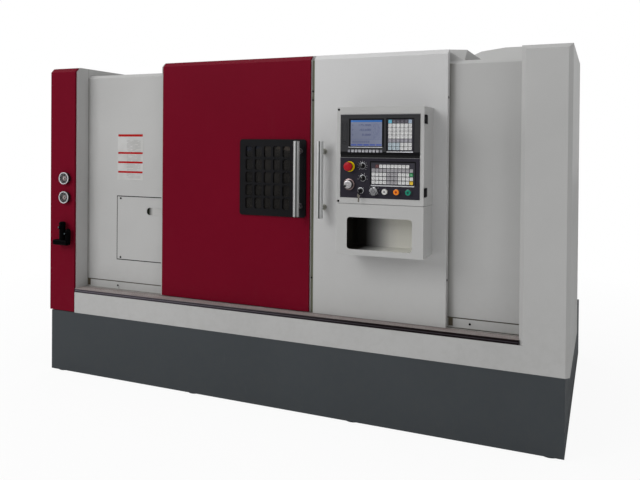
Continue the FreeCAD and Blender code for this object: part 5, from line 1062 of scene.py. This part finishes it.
KEY_SLOT = "control_plastic"
KEY_WHITE = srgb(214, 214, 214)
INK = srgb(60, 60, 68)
blue, grey, shaded = cells(range(3), (0, 1)), cells(range(6), (2,)), cells(range(1, 5), (7,))
cyan, pale = [(0, 7)], [(5, 7)]
toned = blue + grey + shaded + cyan + pale
white = [cell for cell in cells(range(6), range(8)) if cell not in toned]
key_set("data_keys", on_display(247, 24), (19.8 * MM, 18.3 * MM), 16.5 * MM, 0.5 * MM, [
    ("white", KEY_WHITE, INK, KEY_SLOT, white),
    ("blue", srgb(172, 186, 194), INK, KEY_SLOT, blue),
    ("grey", srgb(140, 138, 146), srgb(196, 196, 204), KEY_SLOT, grey),
    ("shaded", srgb(74, 71, 82), srgb(150, 150, 158), KEY_SLOT, shaded),
    ("cyan", srgb(96, 178, 204), INK, KEY_SLOT, cyan),
    ("pale", srgb(160, 176, 196), INK, KEY_SLOT, pale),
])
red, green, yellow = [(1, 4)], [(10, 2)], [(10, 0)]
pale = cells(range(4, 7), range(3))
white = [cell for cell in cells(range(11), range(3)) if cell not in green + yellow + pale]
key_set("operator_keys", element(165, 71), (18.9 * MM, 19.4 * MM), 16 * MM, 0.5 * MM, [
    ("white", KEY_WHITE, INK, KEY_SLOT, cells(range(2, 10), (4,)) + white),
    ("grey", srgb(156, 154, 158), INK, KEY_SLOT, cells(range(11), (3,)) + pale),
    ("red", srgb(84, 30, 34), srgb(180, 150, 150), "stop_red", red),
    ("green", srgb(22, 132, 74), srgb(210, 225, 214), "button_green", green),
    ("yellow", srgb(222, 184, 34), INK, "button_orange", yellow),
])
key_set("soft_keys", on_display(41, 11), (18.2 * MM, 18.2 * MM), 13 * MM, 2.5 * MM, [
    ("pale", srgb(170, 170, 176), INK, KEY_SLOT, cells(range(1, 9), (0,))),
    ("dark", srgb(112, 112, 120), srgb(190, 190, 196), KEY_SLOT, cells((0, 9), (0,))),
])

# Short marks on the panel around the knobs
for name, centre, radius, count, sweep, length in (
        ("feed_override", FEED_KNOB, 20.5 * MM, 11, 270, 4.5 * MM),
        ("rapid_override", RAPID_KNOB, 20.5 * MM, 6, 200, 4.5 * MM),
        ("spindle_override", DIAL, 23.5 * MM, 8, 240, 4 * MM),
        ("key_switch", KEY_SWITCH, 16.5 * MM, 2, 90, 5 * MM)):
    plate((-0.5 * MM, -0.35 * MM, radius), (0.5 * MM, PAST, radius + length),
          0.3 * MM, 0.1 * MM, 2)
    turns = [radians(-sweep / 2 + sweep * step / (count - 1)) for step in range(count)]
    marks = copies(close(), [turned(centre, turn) for turn in turns])
    finished(name + "_marks", white_print, "box_door", piece=marks)

# White lines along the grips of the two selectors
KNOB_FRONT = UNIT_FACE - 19.6 * MM
for name, centre in (("feed_override", FEED_KNOB), ("rapid_override", RAPID_KNOB)):
    plate((centre.x - 0.8 * MM, KNOB_FRONT - 0.3 * MM, centre.z + 1 * MM),
          (centre.x + 0.8 * MM, KNOB_FRONT + PAST, centre.z + 9 * MM), 0.5 * MM, 0.12 * MM, 2)
    finished(name + "_pointer", white_print, name + "_knob")

# Flat turned rings around buttons, selectors and lock, softened at the outer edge
dark_chrome = ground_steel("dark_chrome", srgb(66, 66, 69), (90.0, 90.0, 90.0), 0.25)
RING_EDGE = 0.6 * MM
for name, centre, inner, outer, thickness, finish in (
        *((name + "_button_ring", centre, 14.4, 16.6, 1.6, dark_chrome)
          for name, centre in BUTTONS.items()),
        ("feed_override_ring", FEED_KNOB, 14.6, 15.9, 1.4, silver_trim),
        ("rapid_override_ring", RAPID_KNOB, 14.6, 15.9, 1.4, silver_trim),
        ("key_switch_ring", KEY_SWITCH, 12.6, 15.0, 2.2, silver_trim)):
    drum(outer * MM, thickness * MM, ahead(centre, thickness * MM / 2), 48)
    slope_front(RING_EDGE, -0.4 * MM)
    inset(outer * MM - inner * MM - RING_EDGE)
    pushed_in(thickness * MM + 0.2 * MM)
    finished(name, finish, "box_door")

# Silver face of the handwheel, its crank cup and its graduated rim
wheel_front = corners("handwheel")[0].y
drum(19.5 * MM, 2.2 * MM, at_depth(HANDWHEEL, wheel_front + 0.4 * MM), 48)
slope_front(1.2 * MM, -0.6 * MM)
inset(5.5 * MM)
pushed_in(0.8 * MM)
finished("handwheel_face", wheel_finish(), "handwheel")
drum(5.4 * MM, 3.4 * MM,
     Vector((HANDWHEEL.x - 14 * MM, wheel_front - 0.3 * MM, HANDWHEEL.z - 8 * MM)), 24)
recess(0.9 * MM, 0.6 * MM)
finished("handwheel_cup", knob_plastic, "handwheel")
drum(28.2 * MM, 4.2 * MM, ahead(HANDWHEEL, 6.0 * MM), 72)
slope_front(1.0 * MM, -0.5 * MM)
rim_metal = ground_steel("worn_rim_metal", srgb(120, 104, 104), (90.0, 90.0, 90.0))
finished("handwheel_rim", rim_metal, "handwheel")

# Three-lobed knob of the spindle override, with its skirt and cap
dial_metal = ground_steel("dial_aluminium", srgb(128, 128, 130), (200.0, 3.0, 200.0))
skirt_front = UNIT_FACE - 3.6 * MM
knob_front = corners("spindle_override_dial")[0].y
drum(20.8 * MM, skirt_front - knob_front, at_depth(DIAL, (skirt_front + knob_front) / 2), 60)
bevel(2.4 * MM, 3, lambda middle, along: middle.y < knob_front + 0.1 * MM)
lobes = close()
for hollow in (90, 210, 330):
    turn = radians(hollow)
    drum(11 * MM, 40 * MM, Vector((DIAL.x + 25 * MM * cos(turn), skirt_front,
                                   DIAL.z + 25 * MM * sin(turn))), 40)
    cut_away(lobes, close())
finished("spindle_override_lobes", dial_metal, "spindle_override_dial", 30,
         lobes)
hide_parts("spindle_override_dial")
drum(21 * MM, 3.2 * MM, ahead(DIAL, 2.2 * MM), 60)
bevel(0.8 * MM, 2, lambda middle, along: middle.y < UNIT_FACE - 3.7 * MM)
finished("spindle_override_skirt", dial_metal, "spindle_override_dial")
drum(8.5 * MM, 1.6 * MM, at_depth(DIAL, knob_front + 0.7 * MM), 40)
recess(1.4 * MM, 1.0 * MM)
finished("spindle_override_cap", dark_chrome, "spindle_override_dial")

# Spare key that hangs from the lock by a ring
key_steel = ground_steel("worn_key_steel", srgb(116, 112, 105), (60.0, 60.0, 60.0))
bow = KEY_SWITCH + Vector((-3 * MM, -24 * MM, -24 * MM))
drum(7.5 * MM, 2.0 * MM, bow)
bevel(0.35 * MM, 1, lambda middle, along: abs(middle.y - bow.y) > 0.9 * MM)
finished("spare_key_bow", key_steel, "box_door", 30)
plate(bow - Vector((3.6 * MM, 0.9 * MM, 31 * MM)), bow + Vector((3.6 * MM, 0.9 * MM, -4 * MM)),
      1.6 * MM, 0.3 * MM)
finished("spare_key_blade", key_steel, "box_door", 30)
ring_centre = bow + Vector((0, 0, 9 * MM))
begin(bpy.ops.mesh.primitive_torus_add, major_radius=6.5 * MM, minor_radius=0.8 * MM,
      major_segments=32, minor_segments=8, location=ring_centre, rotation=(0, pi / 2, 0))
bpy.ops.transform.resize(value=(1.0, 1.0, 1.25), center_override=ring_centre)
finished("key_loop", nickel, "box_door", 30)

# ---- Port plugs of the air filter unit ----

REGULATOR_X = corners("air_filter_unit")[0].x + 50 * MM
PLUG_TOWARD = Vector((-0.6, -0.8, 0))
BLOCK_FOOT = 0.830
plug_turn = Matrix.Rotation(atan2(PLUG_TOWARD.y, PLUG_TOWARD.x) + pi / 2, 4, "Z")
ends = []                          # places of the plugs, ahead of the bowls
for right, radius, rise in ((0, 19, 76), (45, 16, 39)):
    bowl_front = Vector((REGULATOR_X + right * MM, COLUMN_FRONT - (26 + radius) * MM,
                         BLOCK_FOOT + rise * MM))
    ends.append(Matrix.Translation(bowl_front + PLUG_TOWARD * 12 * MM) @ plug_turn)
drum(6.6 * MM, 3.0 * MM, (0, -1.5 * MM, 0), 20)
recess(1.4 * MM, 1.0 * MM)
plug_steel = ground_steel("dull_plug_steel", srgb(92, 104, 108), (90.0, 90.0, 90.0))
finished("air_port_plugs", plug_steel, "machine", piece=copies(close(), ends))

# ---- Studio ----


def floor():
    """Pale floor that looks white to the camera, fading out around the machine."""
    deselect()
    bpy.ops.mesh.primitive_plane_add(size=60.0, location=(0, 0, -0.5 * MM))
    ground = bpy.context.object
    ground.name = "studio_floor"
    pale = Finish("studio_floor_paint", rough=0.9, Base_Color=srgb(236, 236, 236))
    glow = pale.node("Emission", None, {"Color": (1, 1, 1, 1), "Strength": 1.0})
    away = pale.math("SQRT", pale.x * pale.x + pale.y * pale.y)
    seen = Term(pale, pale.node("LightPath").outputs["Is Camera Ray"])
    share = seen * (0.93 + away.ramp(2.0, 4.5) * 0.07)
    blend = pale.node("MixShader", None, {0: share, 1: pale.shader.outputs[0],
                                          2: glow.outputs[0]})
    pale.tree.links.new(blend.outputs[0], pale.tree.nodes["Material Output"].inputs["Surface"])
    ground.data.materials.append(pale.material)


def surround():
    """White surround in what the camera sees, in reflections and through glass; dim as light."""
    world = bpy.data.worlds.new("studio_surround")
    bpy.context.scene.world = world
    world.use_nodes = True
    tree = world.node_tree
    tree.nodes.clear()
    white = (1.0, 1.0, 1.0, 1.0)
    rays = add_node(tree, "LightPath").outputs
    first = add_node(tree, "Math", {"operation": "MAXIMUM"},
                     {0: rays["Is Camera Ray"], 1: rays["Is Glossy Ray"]})
    seen = add_node(tree, "Math", {"operation": "MAXIMUM"},
                    {0: first.outputs[0], 1: rays["Is Transmission Ray"]})
    dim = add_node(tree, "Background", None, {"Color": white, "Strength": 0.30})
    bright = add_node(tree, "Background", None, {"Color": white, "Strength": 1.0})
    mixed = add_node(tree, "MixShader", None, {0: seen.outputs[0], 1: dim.outputs[0],
                                               2: bright.outputs[0]})
    add_node(tree, "OutputWorld", None, {0: mixed.outputs[0]})


def lamps():
    """Five large soft square lamps: place, aim, size and watts."""
    for name, place, aim, size, power in (
            ("lamp_front_left", (-3.7, -7.2, 5.0), (0.0, -0.6, 1.0), 4.6, 292.0),
            ("lamp_left", (-8.5, -3.2, 3.6), (0.0, -0.6, 1.0), 4.0, 60.0),
            ("lamp_right", (6.5, -4.5, 3.6), (0.0, -0.6, 1.0), 4.0, 70.0),
            ("lamp_above", (-0.5, 0.5, 7.0), (0.0, 0.0, 1.0), 5.0, 130.0),
            ("lamp_behind", (-3.5, 7.0, 4.5), (0.0, 0.6, 1.0), 4.0, 120.0)):
        data = bpy.data.lights.new(name, "AREA")
        data.shape = "SQUARE"
        data.size = size
        data.energy = power
        lamp = bpy.data.objects.new(name, data)
        bpy.context.collection.objects.link(lamp)
        lamp.location = place
        toward = Vector(aim) - Vector(place)
        lamp.rotation_euler = toward.to_track_quat("-Z", "Y").to_euler()


def camera():
    """Camera of the photograph, fitted to the machine's edges."""
    yaw, pitch, roll = radians(23.35), radians(0.54), radians(0.48)
    forward = Vector((-sin(yaw) * cos(pitch), cos(yaw) * cos(pitch), -sin(pitch)))
    right = Vector((cos(yaw), sin(yaw), 0))
    up = right.cross(forward)
    rolled_right = right * cos(roll) + up * sin(roll)
    rolled_up = up * cos(roll) - right * sin(roll)
    data = bpy.data.cameras.new("photo_camera")
    data.sensor_width = 36.0
    data.lens = 37.91
    data.shift_x = 0.0094
    data.shift_y = -0.136
    data.clip_end = 100.0
    view = bpy.data.objects.new("photo_camera", data)
    bpy.context.collection.objects.link(view)
    rotation = Matrix((rolled_right, rolled_up, -forward)).transposed().to_4x4()
    view.matrix_world = Matrix.Translation((1.669, -4.031, 1.417)) @ rotation
    bpy.context.scene.camera = view


floor()
surround()
lamps()
camera()
bpy.context.scene.view_settings.view_transform = "Standard"

bpy.context.view_layer.update()
